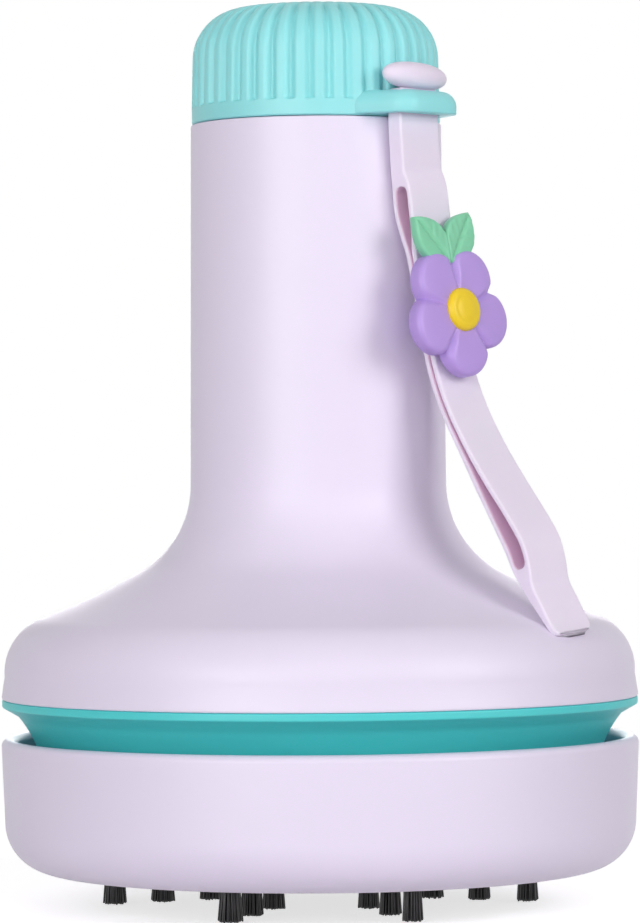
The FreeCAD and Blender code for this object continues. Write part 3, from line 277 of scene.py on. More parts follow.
def stack(rings):
    """A solid through rings of points, with its first and last ring closed."""
    mesh = weave(len(rings), len(rings[0]), lambda row, step: rings[row][step])
    grid = bmesh.new()
    grid.from_mesh(mesh)
    bmesh.ops.holes_fill(grid, edges=grid.edges, sides=0)
    grid.to_mesh(mesh)
    grid.free()
    return mesh


def lathe(points, steps, carve=None):
    """A closed outline of (radius, height) points turned about Z. carve(point, angle) gives a depth."""
    count = len(points)
    normals = []
    for row, here in enumerate(points):
        along = points[(row + 1) % count] - points[row - 1]
        normals.append(Vector((along.y, -along.x)).normalized())

    def place(row, step):
        angle = tau * step / steps
        spot = points[row]
        if carve:
            spot = spot - normals[row] * carve(points[row], angle)
        return spot.x * cos(angle), spot.x * sin(angle), spot.y

    return weave(count, steps, place, closed=True)


def join(meshes):
    """Several meshes as one."""
    grid = bmesh.new()
    for mesh in meshes:
        grid.from_mesh(mesh)
        bpy.data.meshes.remove(mesh)
    whole = bpy.data.meshes.new("joined")
    grid.to_mesh(whole)
    grid.free()
    return whole


def settle(thing):
    """Turn an object's modifiers into its mesh."""
    bpy.context.view_layer.update()
    solid = thing.evaluated_get(bpy.context.evaluated_depsgraph_get())
    mesh = bpy.data.meshes.new_from_object(solid)
    thing.modifiers.clear()
    thing.data = mesh
    return thing


def cut(mesh, cutter):
    """The mesh with the cutter's mesh taken away, both in millimetres."""
    things = [put("blank", mesh), put("cutter", cutter)]
    for thing in things:
        weld(thing.data, WELD_GAP)
    step = things[0].modifiers.new("cut", "BOOLEAN")
    step.operation = "DIFFERENCE"
    step.solver = "EXACT"
    step.object = things[1]
    result = settle(things[0]).data
    for thing in things:
        bpy.data.objects.remove(thing)
    return result


def rounded_loop(half_x, half_y, radius, arc=6):
    """Points round a rectangle on the origin with rounded corners."""
    loop = []
    for place, (side_x, side_y) in enumerate(((1, 1), (-1, 1), (-1, -1), (1, -1))):
        centre = Vector((side_x * (half_x - radius), side_y * (half_y - radius)))
        for part in range(arc + 1):
            angle = radians(90 * (place + part / arc))
            loop.append(centre + Vector((cos(angle), sin(angle))) * radius)
    return loop


def collar(outer, inner, low, high, edge, turns=4):
    """A ring between two upright loops from low to high with rounded edges."""
    rings = []
    for loop, other, flip in ((outer, inner, False), (inner, outer, True)):
        rows = [(edge * 1.3, low)] + [(across, low + along) for along, across in rounding(edge, turns)]
        rows += [(across, high - along) for across, along in rounding(edge, turns)] + [(edge * 1.3, high)]
        for inset, height in reversed(rows) if flip else rows:
            rings.append([(*(here + (there - here).normalized() * inset), height)
                          for here, there in zip(loop, other)])
    return weave(len(rings), len(outer), lambda row, step: rings[row][step], closed=True)


def tube(path, radius, sides=6):
    """A closed round rod along points, with a rounded tip at its last end."""
    rows = [(path[0], 0.0), (path[0], radius)] + [(point, radius) for point in path[1:]]
    rows.append((path[-1] + (path[-1] - path[-2]).normalized() * radius * 0.5, radius * 0.6))
    rows.append((rows[-1][0] + (path[-1] - path[-2]).normalized() * radius * 0.2, 0.0))
    along = (path[-1] - path[0]).normalized()
    across = along.orthogonal().normalized()
    beside = along.cross(across)

    def place(row, step):
        angle = tau * step / sides
        centre, size = rows[row]
        return centre + (across * cos(angle) + beside * sin(angle)) * size

    return weave(len(rows), sides, place)


# -------- finishes


def wire(tree, node, links):
    """Link sockets, or the first outputs of nodes, to a node's inputs."""
    for name, source in links.items():
        tree.links.new(getattr(source, "outputs", [source])[0], node.inputs[name])


def add(tree, kind, settings=None, links=None):
    """Add a shader node. Lower-case settings are its properties, and the others are its inputs' values."""
    node = tree.nodes.new("ShaderNode" + kind)
    for name, value in (settings or {}).items():
        if isinstance(name, str) and name[0].islower():
            setattr(node, name, value)
        else:
            node.inputs[name].default_value = value
    wire(tree, node, links or {})
    return node


def seen(tree):
    """1 for rays from the camera, or mirrored or let through on their way to it, and 0 for the rest."""
    ray = add(tree, "LightPath").outputs
    share = ray["Is Camera Ray"]
    for name in ("Is Glossy Ray", "Is Transmission Ray"):
        share = add(tree, "Math", {"operation": "MAXIMUM"}, {0: share, 1: ray[name]}).outputs[0]
    return share


def finish_of(name, settings):
    """A new material and its surface shader with fixed values set."""
    finish = bpy.data.materials.new(name)
    finish.use_nodes = True
    surface = finish.node_tree.nodes["Principled BSDF"]
    for socket, value in settings.items():
        surface.inputs[socket].default_value = value
    return finish, finish.node_tree, surface


def shade(tone, share):
    """A linear colour made darker or lighter by a share."""
    return [min(part * (1 + share), 1.0) for part in tone[:3]] + [1.0]


def grained(name, tone, settings, rough, grain, relief, flow=16.0, mottle=0.015, stretch=(1.0, 1.0, 1.0)):
    """A skin with fine grain, its tone slightly uneven over the flow length. Lengths are in millimetres."""
    finish, tree, surface = finish_of(name, settings)
    place = add(tree, "TexCoord").outputs["Object"]
    place = add(tree, "Mapping", {"Scale": stretch}, {"Vector": place})
    cloud = add(tree, "TexNoise", {"Scale": 1 / (flow * MM), "Detail": 2.0}, {"Vector": place})
    tint = add(tree, "Mix", {"data_type": "RGBA", 6: shade(tone, -mottle), 7: shade(tone, mottle)},
               {0: cloud})
    speck = add(tree, "TexNoise", {"Scale": 1 / (grain * MM), "Detail": 3.0}, {"Vector": place})
    gloss = add(tree, "MapRange", {"From Min": 0.3, "From Max": 0.7, "To Min": rough - 0.05,
                                   "To Max": rough + 0.05}, {"Value": speck})
    bump = add(tree, "Bump", {"Strength": 1.0, "Distance": relief * MM}, {"Height": speck})
    wire(tree, surface, {"Base Color": tint.outputs[2], "Roughness": gloss, "Normal": bump})
    return finish


# Spark-eroded tool skin has grains near 0.05 mm. They are drawn at 0.3 mm so that they show.


def shell_abs(tone):
    """Lavender ABS from a finely spark-eroded tool: satin, no clear reflections, soft broad highlights."""
    return grained("lavender_abs", tone, {"IOR": 1.54, "Subsurface Weight": 0.08, "Subsurface Scale": 0.001,
                                          "Subsurface Radius": (1.0, 0.8, 1.0)}, 0.44, 0.3, 0.0035)


def cap_abs(name, tone):
    """Tinted ABS from a polished and lightly blasted tool: a little glossier than the shell."""
    return grained(name, tone, {"IOR": 1.54, "Subsurface Weight": 0.15, "Subsurface Scale": 0.0012,
                                "Subsurface Radius": (0.2, 1.0, 1.0)}, 0.46, 0.3, 0.0025)


def strap_silicone(name, tone):
    """Moulded silicone rubber: milky, dull, with a dry velvety edge."""
    return grained(name, tone, {"IOR": 1.41, "Subsurface Weight": 0.25, "Subsurface Scale": 0.0015,
                                "Subsurface Radius": (1.0, 0.7, 1.0), "Sheen Weight": 0.12,
                                "Sheen Roughness": 0.4}, 0.52, 0.25, 0.003)


def soft_pvc(name, tone):
    """Soft PVC cast in layers for charms: dense even colour and a low waxy gloss."""
    return grained(name, tone, {"IOR": 1.53, "Subsurface Weight": 0.06, "Subsurface Scale": 0.0008}, 0.42,
                   0.35, 0.004, flow=6.0, mottle=0.03)


def bristle_nylon(tone):
    """Extruded black nylon: smooth glossy filaments, streaked along their length."""
    return grained("bristle_nylon", tone, {"IOR": 1.53}, 0.34, 0.2, 0.002, flow=1.2, mottle=0.35,
                   stretch=(1.0, 1.0, 0.12))


def black_polypropylene():
    """Black polypropylene with a matte moulded grain, which greys it in raking light."""
    return grained("black_polypropylene", linear("#222124"), {"IOR": 1.49}, 0.5, 0.3, 0.006, mottle=0.06)


def grey_abs():
    """Unpainted inner ABS, plain matte grey."""
    return grained("grey_abs", linear("#9a9a9e"), {"IOR": 1.54}, 0.5, 0.35, 0.005, mottle=0.03)


def zinc_steel():
    """Zinc-plated steel: bright, faintly blue, slightly cloudy."""
    return grained("zinc_steel", linear("#b9bec4"), {"Metallic": 1.0}, 0.3, 0.25, 0.002, flow=4.0,
                   mottle=0.08)


def ground_steel():
    """A ground shaft: fine rings round its length."""
    return grained("ground_steel", linear("#c9cbcd"), {"Metallic": 1.0}, 0.2, 0.3, 0.001, flow=2.0,
                   mottle=0.05, stretch=(0.15, 0.15, 2.0))


def ferrite():
    """Sintered ferrite: charcoal and dull, with a gritty face."""
    return grained("ferrite", linear("#3a393b"), {"IOR": 2.0}, 0.62, 0.2, 0.01, flow=2.0, mottle=0.12)


def sintered_bronze():
    """Oil-filled sintered bronze: brown gold and porous."""
    return grained("sintered_bronze", linear("#a9793f"), {"Metallic": 1.0}, 0.42, 0.18, 0.008, flow=1.0,
                   mottle=0.2)


def shrink_film():
    """Blue PVC shrink film round the cell: tight, glossy, faintly rippled."""
    return grained("shrink_film", linear("#2f6fae"), {"IOR": 1.53, "Coat Weight": 0.4}, 0.28, 2.5, 0.03,
                   mottle=0.05, stretch=(1.0, 1.0, 0.4))


def nickel_plate():
    """Stamped and nickel-plated sheet: bright with a yellowish cast."""
    return grained("nickel_plate", linear("#c4bfb4"), {"Metallic": 1.0}, 0.26, 0.2, 0.0015, flow=3.0,
                   mottle=0.06)


def lamp_polycarbonate():
    """Frosted polycarbonate light pipe: milky and clear at once."""
    return grained("lamp_polycarbonate", linear("#eef0ee"), {"IOR": 1.58, "Transmission Weight": 0.55},
                   0.35, 0.2, 0.002)


def nitrile():
    """Black nitrile rubber with a talc-dulled skin."""
    return grained("nitrile", linear("#1d1d1e"), {"IOR": 1.52}, 0.6, 0.2, 0.004, flow=3.0, mottle=0.1)


def filter_paper():
    """Pressed filter fibre: white, dry, with a felted surface."""
    return grained("filter_paper", linear("#ecebe4"), {"IOR": 1.47, "Sheen Weight": 0.2}, 0.85, 0.25, 0.03,
                   flow=3.0, mottle=0.05, stretch=(1.0, 0.3, 1.0))


def solder_mask():
    """Green solder mask over copper tracks 1.2 mm apart, which show through it as raised pale lines."""
    finish, tree, surface = finish_of("solder_mask", {"IOR": 1.5, "Roughness": 0.3})
    place = add(tree, "TexCoord").outputs["Object"]
    tracks = add(tree, "TexBrick", {"Scale": 1 / (1.2 * MM), "Color1": linear("#14603a"),
                                    "Color2": linear("#176a41"), "Mortar": linear("#2f8a55"),
                                    "Mortar Size": 0.06}, {"Vector": place})
    bump = add(tree, "Bump", {"Strength": 0.6, "Distance": 0.03 * MM}, {"Height": tracks.outputs["Fac"]})
    wire(tree, surface, {"Base Color": tracks.outputs["Color"], "Normal": bump})
    return finish


FINISHES = {}


def ready(maker, *values):
    """A finish by its maker and name, made once."""
    key = "-".join([maker.__name__] + [text for text in values if isinstance(text, str)])
    if key not in FINISHES:
        FINISHES[key] = maker(*values)
    return FINISHES[key]


# -------- main body

SHELL = [
    (43.0, 28.1), (42.54, 31.1), (37.5, 38.9, 7.7, 1), (24.1, 45.1, 82.0, -1), (17.3, 56.6, 13.4, -1),
    (16.95, 105.3), (14.95, 105.3), (15.3, 56.6), (23.108, 43.364, 15.4, 1), (36.822, 37.018, 84.0, 1),
    (40.54, 31.1, 5.7, -1), (41.0, 28.1),
]
SKIRT = [
    (42.9, 28.1), (40.4, 28.1), (40.4, 30.5), (38.6, 30.5), (38.6, 25.9), (36.6, 22.0), (35.6, 19.3),
    (29.7, 19.3), (29.7, 25.3), (27.9, 25.3), (27.9, 13.5), (29.7, 13.5), (29.7, 17.5), (36.6, 17.5),
    (37.4, 18.3), (38.4, 22.0), (40.8, 25.9, 16.0, -1), (42.9, 27.1),
]
# the bosses of the three screws that clamp ring and shell together
CLAMP_RING = 33.5
CLAMP_ANGLES = (7.5, 127.5, 247.5)
BOSS_RADIUS = 2.6
BOSS_EASE = 0.1
SHELL_BOSS = (27.0, 38.6)
SKIRT_BOSS = (18.5, 25.3)
# the charging port and its lamp in the back wall: height, half width, half height and lip
BACK_X = -16.95
PORT = (70.0, 4.72, 1.85, 0.35)
LAMP = (78.0, 1.05, 1.05, 0.2)
# the exhaust slots round the ring's floor
VENT_COUNT = 24
VENT_RING = 32.65
VENT_HALF = (2.2, 1.1)
VENT_CORNER = 0.9
VENT_LOW = 16.5
VENT_DEPTH = 3.8


def pillars(ring, angles, ends, radius, steps=28):
    """Upright closed cylinders with eased ends, at angles in degrees round a ring."""
    low, high = ends
    rows = [(0.0, low), (radius - BOSS_EASE, low), (radius, low + BOSS_EASE), (radius, high - BOSS_EASE),
            (radius - BOSS_EASE, high), (0.0, high)]
    spin = [tau * step / steps for step in range(steps)]
    made = []
    for turn in angles:
        x, y = ring * cos(radians(turn)), ring * sin(radians(turn))
        loops = [[(x + reach * cos(angle), y + reach * sin(angle), height) for angle in spin]
                 for reach, height in rows]
        made.append(weave(len(rows), steps, lambda row, step, loops=loops: loops[row][step]))
    return made


def back_opening(z, half_y, half_z, lip, arc=10):
    """A cutter along X through the back wall: a stadium that flares by lip where it meets the outside."""
    rows = [(BACK_X + 4.0, 0.0), (BACK_X + 0.5, 0.0), (BACK_X - 0.35, lip), (BACK_X - 3.0, lip + 2.0)]
    straight = half_y - half_z
    loops = []
    for x, grow in rows:
        loops.append([])
        for step in range(4 * arc):
            angle = tau * (step + 0.5) / (4 * arc)
            side = copysign(straight, cos(angle))
            reach = half_z + grow
            loops[-1].append((x, side + reach * cos(angle), z + reach * sin(angle)))
    return stack(loops)


def exhaust_slot(turn):
    """A cutter for one of the ring's exhaust slots."""
    facing = Matrix.Rotation(tau * turn / VENT_COUNT, 2)
    loop = [facing @ (spot + Vector((VENT_RING, 0.0)))
            for spot in rounded_loop(*VENT_HALF, VENT_CORNER)]
    return stack([[(*spot, VENT_LOW + VENT_DEPTH * row) for spot in loop] for row in range(2)])


class VACUUM_OT_upper_shell(bpy.types.Operator):
    """Build the lavender bell with its port and lamp openings at the back and its screw bosses inside"""

    bl_idname = "vacuum.upper_shell"
    bl_label = "Upper Shell"

    def execute(self, context):
        sizes, tones = chosen(context)
        bell = lathe(ease(trace(SHELL), sizes.edge / MM), steps=200)
        bell = cut(bell, back_opening(*PORT))
        bell = cut(bell, back_opening(*LAMP))
        bosses = pillars(CLAMP_RING, CLAMP_ANGLES, SHELL_BOSS, BOSS_RADIUS)
        shell = piece("upper_shell_skin", join([bell] + bosses), ready(shell_abs, tones.shell), "main",
                      "lavender_plastic", sharp=30.0)
        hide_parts("upper_shell")
        return {"FINISHED"}


class VACUUM_OT_skirt_ring(bpy.types.Operator):
    """Build the mint ring that flares in under the shell, with its exhaust slots and collar"""

    bl_idname = "vacuum.skirt_ring"
    bl_label = "Skirt Ring"

    def execute(self, context):
        sizes, tones = chosen(context)
        ring = lathe(ease(trace(SKIRT), sizes.edge / MM), steps=192)
        ring = cut(ring, join([exhaust_slot(turn) for turn in range(VENT_COUNT)]))
        posts = pillars(CLAMP_RING, CLAMP_ANGLES, SKIRT_BOSS, BOSS_RADIUS)
        # the skirt's deeper teal is painted shade on the cap's mint plastic
        skirt = piece("skirt_ring_skin", join([ring] + posts), ready(cap_abs, "teal_abs", tones.skirt),
                      "main", "teal_plastic", sharp=30.0)
        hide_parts("skirt_ring")
        return {"FINISHED"}


# -------- cap

# the points close together on the side are where the flutes begin
CAP = [
    (14.97, 105.4), (16.6, 105.4), (16.8, 105.6), (16.8, 107.4), (16.8, 107.5), (16.8, 107.56),
    (16.8, 107.62), (16.79, 107.7), (16.79, 107.8), (16.78, 108.1), (16.76, 109.0), (16.7, 111.5),
    (16.62, 114.6), (10.35, 121.0, 6.9, 1), (0.0, 121.25, 214.37, 1), (0.0, 116.0), (3.0, 116.0),
    (3.0, 107.7), (4.4, 107.7), (4.4, 118.95), (10.0, 118.75), (14.6, 114.2, 4.8, -1), (14.6, 108.2),
    (14.97, 107.8),
]
# the flutes: heights of their start and full depth, radii between which they fade, their turn and narrowness
FLUTE_START = 107.5
FLUTE_FULL = 107.8
FLUTE_FADE = (9.9, 12.6)
FLUTE_TURN = radians(-2.8)
FLUTE_POWER = 2.5
FLUTE_STEPS = 16
# a point of the cap is on the outside past this radius or height, or this sum of both at the shoulder
OUTSIDE_RADIUS = 14.99
OUTSIDE_HEIGHT = 119.0
OUTSIDE_SUM = 132.0
CAP_EDGE = 0.12
# the flat key in the cap's socket
KEY_HALF = (0.75, 2.6)
KEY_LOW = 107.7
KEY_HEIGHT = 8.3
KEY_X = 3.0
TAB_REACH = 22.3
TAB_HALF = 6.1
TAB_CORNER = 3.4
TAB_FLARE = radians(19.0)
TAB_ROOT = 15.9
TAB_LOW = 105.6
TAB_HIGH = 108.7
TAB_ROUND = 2.0
# the slot for the strap's neck: its middle, half sizes, corner radius and how far it opens at the top
NECK = Vector((18.55, -0.37))
NECK_HALF = (1.45, 4.0)
NECK_CORNER = 0.4
NECK_FLARE = 0.5


def tab_loop(inset, arc=10, root=12):
    """Points round the tab, inset: a round tip, sides that spread, and an arc inside the cap's wall."""
    centre = Vector((TAB_REACH - TAB_CORNER, TAB_HALF - TAB_CORNER))
    radius = TAB_CORNER - inset
    half = []
    for part in range(arc + 1):
        angle = (pi / 2 - TAB_FLARE) * part / arc
        half.append(centre + Vector((cos(angle), sin(angle))) * radius)
    way = Vector((-cos(TAB_FLARE), sin(TAB_FLARE)))
    lean = half[-1].dot(way)
    run = -lean - sqrt(lean ** 2 + TAB_ROOT ** 2 - half[-1].length_squared)
    half += [half[-1] + way * run * part / 4 for part in range(1, 5)]
    high = half[-1].y
    spread = [high * (1 - 2 * part / root) for part in range(1, root)]
    back = [Vector((sqrt(TAB_ROOT ** 2 - y ** 2), y)) for y in spread]
    return half + back + [Vector((spot.x, -spot.y)) for spot in reversed(half)]


def tab_mesh():
    """The tab with its rounded top and the slot for the strap's neck."""
    rows = [(0.2, TAB_LOW), (0.06, TAB_LOW + 0.06), (0.0, TAB_LOW + 0.2)]
    rows += [(across, TAB_HIGH - along) for across, along in rounding(TAB_ROUND, 8)]
    loops = [[(*spot, height) for spot in tab_loop(inset)] for inset, height in rows]
    slot = []
    for grow, height in ((0.0, TAB_LOW - 1.0), (0.0, TAB_HIGH - 0.25), (NECK_FLARE, TAB_HIGH + 0.25)):
        loop = rounded_loop(NECK_HALF[0] + grow, NECK_HALF[1] + grow, NECK_CORNER)
        slot.append([(*(NECK + spot), height) for spot in loop])
    return cut(stack(loops), stack(slot))


def key_mesh():
    """The flat key inside the cap's socket that turns the switch's shaft."""
    half_x, half_y = KEY_HALF
    corners = ((half_x, half_y), (-half_x, half_y), (-half_x, -half_y), (half_x, -half_y))
    return stack([[(KEY_X + x, y, KEY_LOW + KEY_HEIGHT * row) for x, y in corners] for row in range(2)])


class VACUUM_OT_ribbed_cap(bpy.types.Operator):
    """Build the fluted twist cap and its slotted tab"""

    bl_idname = "vacuum.ribbed_cap"
    bl_label = "Ribbed Cap"

    def execute(self, context):
        sizes, tones = chosen(context)
        count, depth = sizes.flute_count, sizes.flute_depth / MM

        def flute(spot, angle):
            outside = spot.x > OUTSIDE_RADIUS or spot.y > OUTSIDE_HEIGHT or spot.x + spot.y > OUTSIDE_SUM
            if not outside or spot.y < FLUTE_START:
                return 0.0
            foot = blur((spot.y - FLUTE_START) / (FLUTE_FULL - FLUTE_START))
            crown = blur((spot.x - FLUTE_FADE[0]) / (FLUTE_FADE[1] - FLUTE_FADE[0]))
            wave = 0.5 + 0.5 * cos(count * (angle - FLUTE_TURN))
            return depth * foot * crown * wave ** FLUTE_POWER

        dome = lathe(ease(trace(CAP, 5.0), CAP_EDGE, steps=2), FLUTE_STEPS * count, flute)
        cap = piece("ribbed_cap_skin", join([dome, key_mesh(), tab_mesh()]),
                    ready(cap_abs, "mint_abs", tones.cap), "cap", "mint_plastic", sharp=65.0)
        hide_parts("ribbed_cap")
        return {"FINISHED"}


# -------- strap

PIVOT = Vector((18.6, -0.37, 103.9))
STRAP_LEAN = radians(5.4)
# the straight stretch on which the charm slides: where it starts and ends, how far out, and its tilt
PINCH_START = 16.87
PINCH_END = 31.94
PINCH_OUT = 1.32
PINCH_TILT = radians(8.68)
SLOT_START = 7.7
SLOT_END = 58.2
SLOT_ROUND = 0.9
TAIL_END = 66.9
TAIL_CORNER = 1.1
# at each drop below the pivot: how far out the strap is, half its thickness, and half the bands' gap
STRAP_OUT = (
    (-5.9, -0.05), (0.0, 0.0), (4.4, -0.08), (5.9, -0.07), (7.8, 0.3), (11.0, 0.47), (14.4, 0.98),
    (PINCH_START, PINCH_OUT), (24.4, 2.47), (PINCH_END, 3.62), (37.4, 5.5), (42.7, 8.27), (47.4, 11.06),
    (51.9, 13.9), (55.4, 15.96), (SLOT_END, 16.94), (60.8, 17.95), (63.2, 19.5), (65.4, 20.95),
    (TAIL_END, 22.05),
)
STRAP_HALF = (
    (-5.9, 1.15), (4.4, 1.25), (5.9, 1.28), (7.8, 1.6), (11.0, 1.72), (14.4, 1.35), (PINCH_START, 0.93),
    (PINCH_END, 0.93), (37.4, 0.9), (42.7, 0.97), (47.4, 1.3), (51.9, 1.65), (55.4, 1.84), (SLOT_END, 1.6),
    (60.8, 0.95), (63.2, 0.74), (65.4, 0.54), (TAIL_END, 0.44),
)
STRAP_GAP = (
    (SLOT_START, 0.9), (11.0, 0.93), (14.4, 0.55), (PINCH_START, 0.13), (PINCH_END, 0.13), (42.7, 0.2),
    (47.4, 0.45), (51.9, 0.85), (55.4, 1.0), (SLOT_END, 0.9),
)
# how far above the pivot the strap ends, and where and how much it narrows before that
STRAP_TOP = 5.05
NECK_START = 4.7
NECK_TAPER = 0.6
# the lean to the side starts this far above the pivot and is whole as far below it
LEAN_HALF = 1.7
STRAP_STEP = 0.45
ROW_GAP = 0.16
BEAD_LOW = 108.85
BEAD_LENGTH = 11.6
BEAD_LEAN = radians(-2.2)
# how full the bead is across and upwards: 1 and 1 is an ellipsoid
BEAD_ROUND = (0.82, 0.95)
BEAD_ROWS = 24
BEAD_STEPS = 64


def strap_rows(width):
    """For each row down the strap: the outer, front, back and inner points and the half width."""
    out, half, gap = through(STRAP_OUT), through(STRAP_HALF), through(STRAP_GAP)
    drops = [STRAP_STEP * place - STRAP_TOP for place in range(int((TAIL_END + STRAP_TOP) / STRAP_STEP))]
    near_ends = []
    for end, corner, parts in ((SLOT_START, SLOT_ROUND, 6), (SLOT_END, -SLOT_ROUND, 6),
                               (TAIL_END, -TAIL_CORNER, 7)):
        near_ends += [end + along for along, _ in rounding(corner, 6)[:parts]]
    drops = [drop for drop in drops if all(abs(drop - end) > ROW_GAP for end in near_ends)]
    rows = []
    for drop in sorted(drops + near_ends):
        slope = (out(drop + 0.05) - out(drop - 0.05)) / 0.1
        side = Vector((1.0, 0.0, slope)).normalized()
        middle = Vector((out(drop), 0.0, -drop))
        opened = 0.0
        if SLOT_START < drop < SLOT_END:
            near = min(drop - SLOT_START, SLOT_END - drop, SLOT_ROUND)
            opened = gap(drop) * sqrt(1 - (1 - near / SLOT_ROUND) ** 2)
        past = max(drop - TAIL_END + TAIL_CORNER, 0.0)
        span = width / 2 - TAIL_CORNER + sqrt(max(TAIL_CORNER ** 2 - past ** 2, 0.0))
        span -= NECK_TAPER * blur((-NECK_START - drop) / NECK_TAPER)
        lean = Matrix.Rotation(STRAP_LEAN * (1 - blur((LEAN_HALF - drop) / (2 * LEAN_HALF))), 4, "X")
        rows.append([lean @ (middle + side * across) for across in
                     (half(drop), opened, -opened, -half(drop))] + [span, opened > 0, lean])
    return rows


def strap_mesh(width):
    """The strap as quads: outside, inside, two edges, and the slot's two faces."""
    rows = strap_rows(width)
    points = []
    for outer, front, back, inner, span, _, lean in rows:
        for spot in (outer, front, back, inner):
            for side in (-1, 1):
                points.append(PIVOT + spot + lean @ Vector((0.0, side * span, 0.0)))
    faces, finishes = [], []
    for row in range(len(rows) - 1):
        here, there = row * 8, row * 8 + 8
        lanes = [(0, 1), (6, 7), (0, 2), (1, 3), (4, 6), (5, 7)]
        if rows[row][5] or rows[row + 1][5]:
            lanes += [(2, 3), (4, 5)]
        faces += [(here + first, here + last, there + last, there + first) for first, last in lanes]
        # index 1 marks the slot's faces, which take the painted shade between the bands
        finishes += [0] * 6 + [1] * (len(lanes) - 6)
    for base in (0, len(rows) * 8 - 8):
        faces += [(base, base + 1, base + 3, base + 2), (base + 4, base + 5, base + 7, base + 6)]
    mesh = bpy.data.meshes.new("strap")
    mesh.from_pydata(points, [], faces)
    mesh.polygons.foreach_set("material_index", finishes + [0] * (len(faces) - len(finishes)))
    return mesh


def bead_mesh():
    """The bead above the tab: a long round pad that leans a little."""
    low, high = (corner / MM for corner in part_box("strap_knob"))
    low.z = BEAD_LOW
    middle, reach = (low + high) / 2, (high - low) / 2
    reach.y = BEAD_LENGTH / 2
    lean = Matrix.Rotation(BEAD_LEAN, 3, "X")

    def place(row, step):
        up = pi * (row / BEAD_ROWS - 0.5)
        angle = tau * step / BEAD_STEPS
        ring = abs(cos(up)) ** BEAD_ROUND[0]
        rise = copysign(abs(sin(up)) ** BEAD_ROUND[1], up)
        return middle + lean @ Vector((reach.x * ring * cos(angle),
                                       reach.y * ring * sin(angle), reach.z * rise))

    return weave(BEAD_ROWS + 1, BEAD_STEPS, place)


class VACUUM_OT_strap(bpy.types.Operator):
    """Build the silicone strap with its slot, and the bead that holds it on the tab"""

    bl_idname = "vacuum.strap"
    bl_label = "Strap and Bead"

    def execute(self, context):
        sizes, tones = chosen(context)
        finish = ready(strap_silicone, "strap_silicone", tones.strap)
        strap = piece("strap_skin", strap_mesh(sizes.strap_width / MM), finish, None, "silicone", sharp=50.0)
        # the second finish paints the shade between the bands onto the slot's faces
        strap.data.materials.append(ready(strap_silicone, "slot_silicone", tones.slot))
        rim = strap.modifiers.new("rim", "BEVEL")
        rim.width = sizes.strap_edge
        rim.segments = 4
        rim.limit_method = "ANGLE"
        rim.angle_limit = radians(50.0)
        rim.use_clamp_overlap = False
        rim.harden_normals = True
        settle(strap)
        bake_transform(strap)
        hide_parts("strap_loop")
        bead = piece("strap_bead", bead_mesh(), finish, "cap", "silicone", sharp=60.0)
        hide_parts("strap_knob")
        return {"FINISHED"}


# -------- charm

CHARM_DROP = 23.4
CHARM_OUT = PINCH_OUT + (CHARM_DROP - PINCH_START) * tan(PINCH_TILT)
FLOWER_FRONT = 1.83
FLOWER_HEIGHT = 2.4
FLOWER_Z = -1.6
# the flower's rim, the valleys between its petals and the dip round its middle
PETAL_EDGE = 0.75
PETAL_STEPS = 28
VALLEY_DEPTH = 0.5
VALLEY_ANGLE = 0.16
DIP_DEPTH = 0.3
# (radius, height) over the button, down to its base
BUTTON = ((0.0, 0.9), (0.7, 0.88), (1.3, 0.84), (1.6, 0.74), (1.85, 0.7), (2.1, 0.72), (2.35, 0.66),
          (2.6, 0.52), (2.8, 0.3), (2.9, 0.0), (2.9, -0.35), (0.0, -0.35))
BUTTON_STEPS = 56
LEAF_LENGTH = 8.4
LEAF_WIDTH = 5.2
LEAF_HEIGHT = 1.4
LEAF_LIFT = 0.6
LEAF_ROOT = 6.3
LEAF_SWING = 38.0
LEAF_STEPS = 48
RIB_DEPTH = 0.28
RIB_WIDTH = 0.28
VEIN_DEPTH = 0.08
VEIN_PITCH = 1.5
# the sleeve round the strap: half sizes and corner radii outside and inside, and its ends from the flower
SLEEVE_OUTER = (1.83, 4.3, 1.4)
SLEEVE_INNER = (1.23, 3.85, 0.9)
SLEEVE_ENDS = (-2.9, 1.5)
SLEEVE_EDGE = 0.2


def charm_matrix():
    """The charm's own frame at rest, in millimetres: X away from the strap, Z up along it."""
    return (Matrix.Translation(PIVOT) @ Matrix.Rotation(STRAP_LEAN, 4, "X")
            @ Matrix.Translation((CHARM_OUT, 0.0, -CHARM_DROP)) @ Matrix.Rotation(-PINCH_TILT, 4, "Y"))


def brim(rise, edge, inset, turns=6):
    """Rows (share of the outline, inset, height) over a raised disc: face, rounded rim, wall and back."""
    rows = [(share, 0.0, rise) for share in (0.0, 0.15, 0.3, 0.45, 0.6, 0.75)]
    rows.append((1.0, edge * 1.6, rise))
    rows += [(1.0, across, rise - along) for along, across in rounding(edge, turns)]
    return rows + [(1.0, 0.0, inset), (1.0, inset, 0.0), (0.0, 0.0, 0.0)]


def flower_mesh(count, radius, ring):
    """Petals fused in one layer: each is crowned, with a valley between neighbours."""
    rows = brim(FLOWER_HEIGHT, PETAL_EDGE, 0.2)
    steps = PETAL_STEPS * count

    def place(row, step):
        share, inset, height = rows[row]
        angle = tau * step / steps
        off = (angle + pi / count) % (tau / count) - pi / count
        rim = ring * cos(off) + sqrt(radius ** 2 - (ring * sin(off)) ** 2)
        reach = max(share * rim - inset, 0.0)
        part = reach / rim
        if height > 1.0:
            valley = 1 - min(abs(abs(off) - pi / count) / VALLEY_ANGLE, 1.0)
            height -= VALLEY_DEPTH * blur(valley) * blur((part - 0.3) / 0.35)
            height -= DIP_DEPTH * blur(abs(part - 0.62) / 0.6)
        turn = angle - pi / 2
        return FLOWER_FRONT + height, reach * cos(turn), FLOWER_Z + reach * sin(turn)

    return weave(len(rows), steps, place)


def button_mesh():
    """The flower's middle: a low dome with a ring groove."""
    base = FLOWER_FRONT + FLOWER_HEIGHT

    def place(row, step):
        angle = tau * step / BUTTON_STEPS
        reach, height = BUTTON[row]
        return base + height, reach * cos(angle), FLOWER_Z + reach * sin(angle)

    return weave(len(BUTTON), BUTTON_STEPS, place)


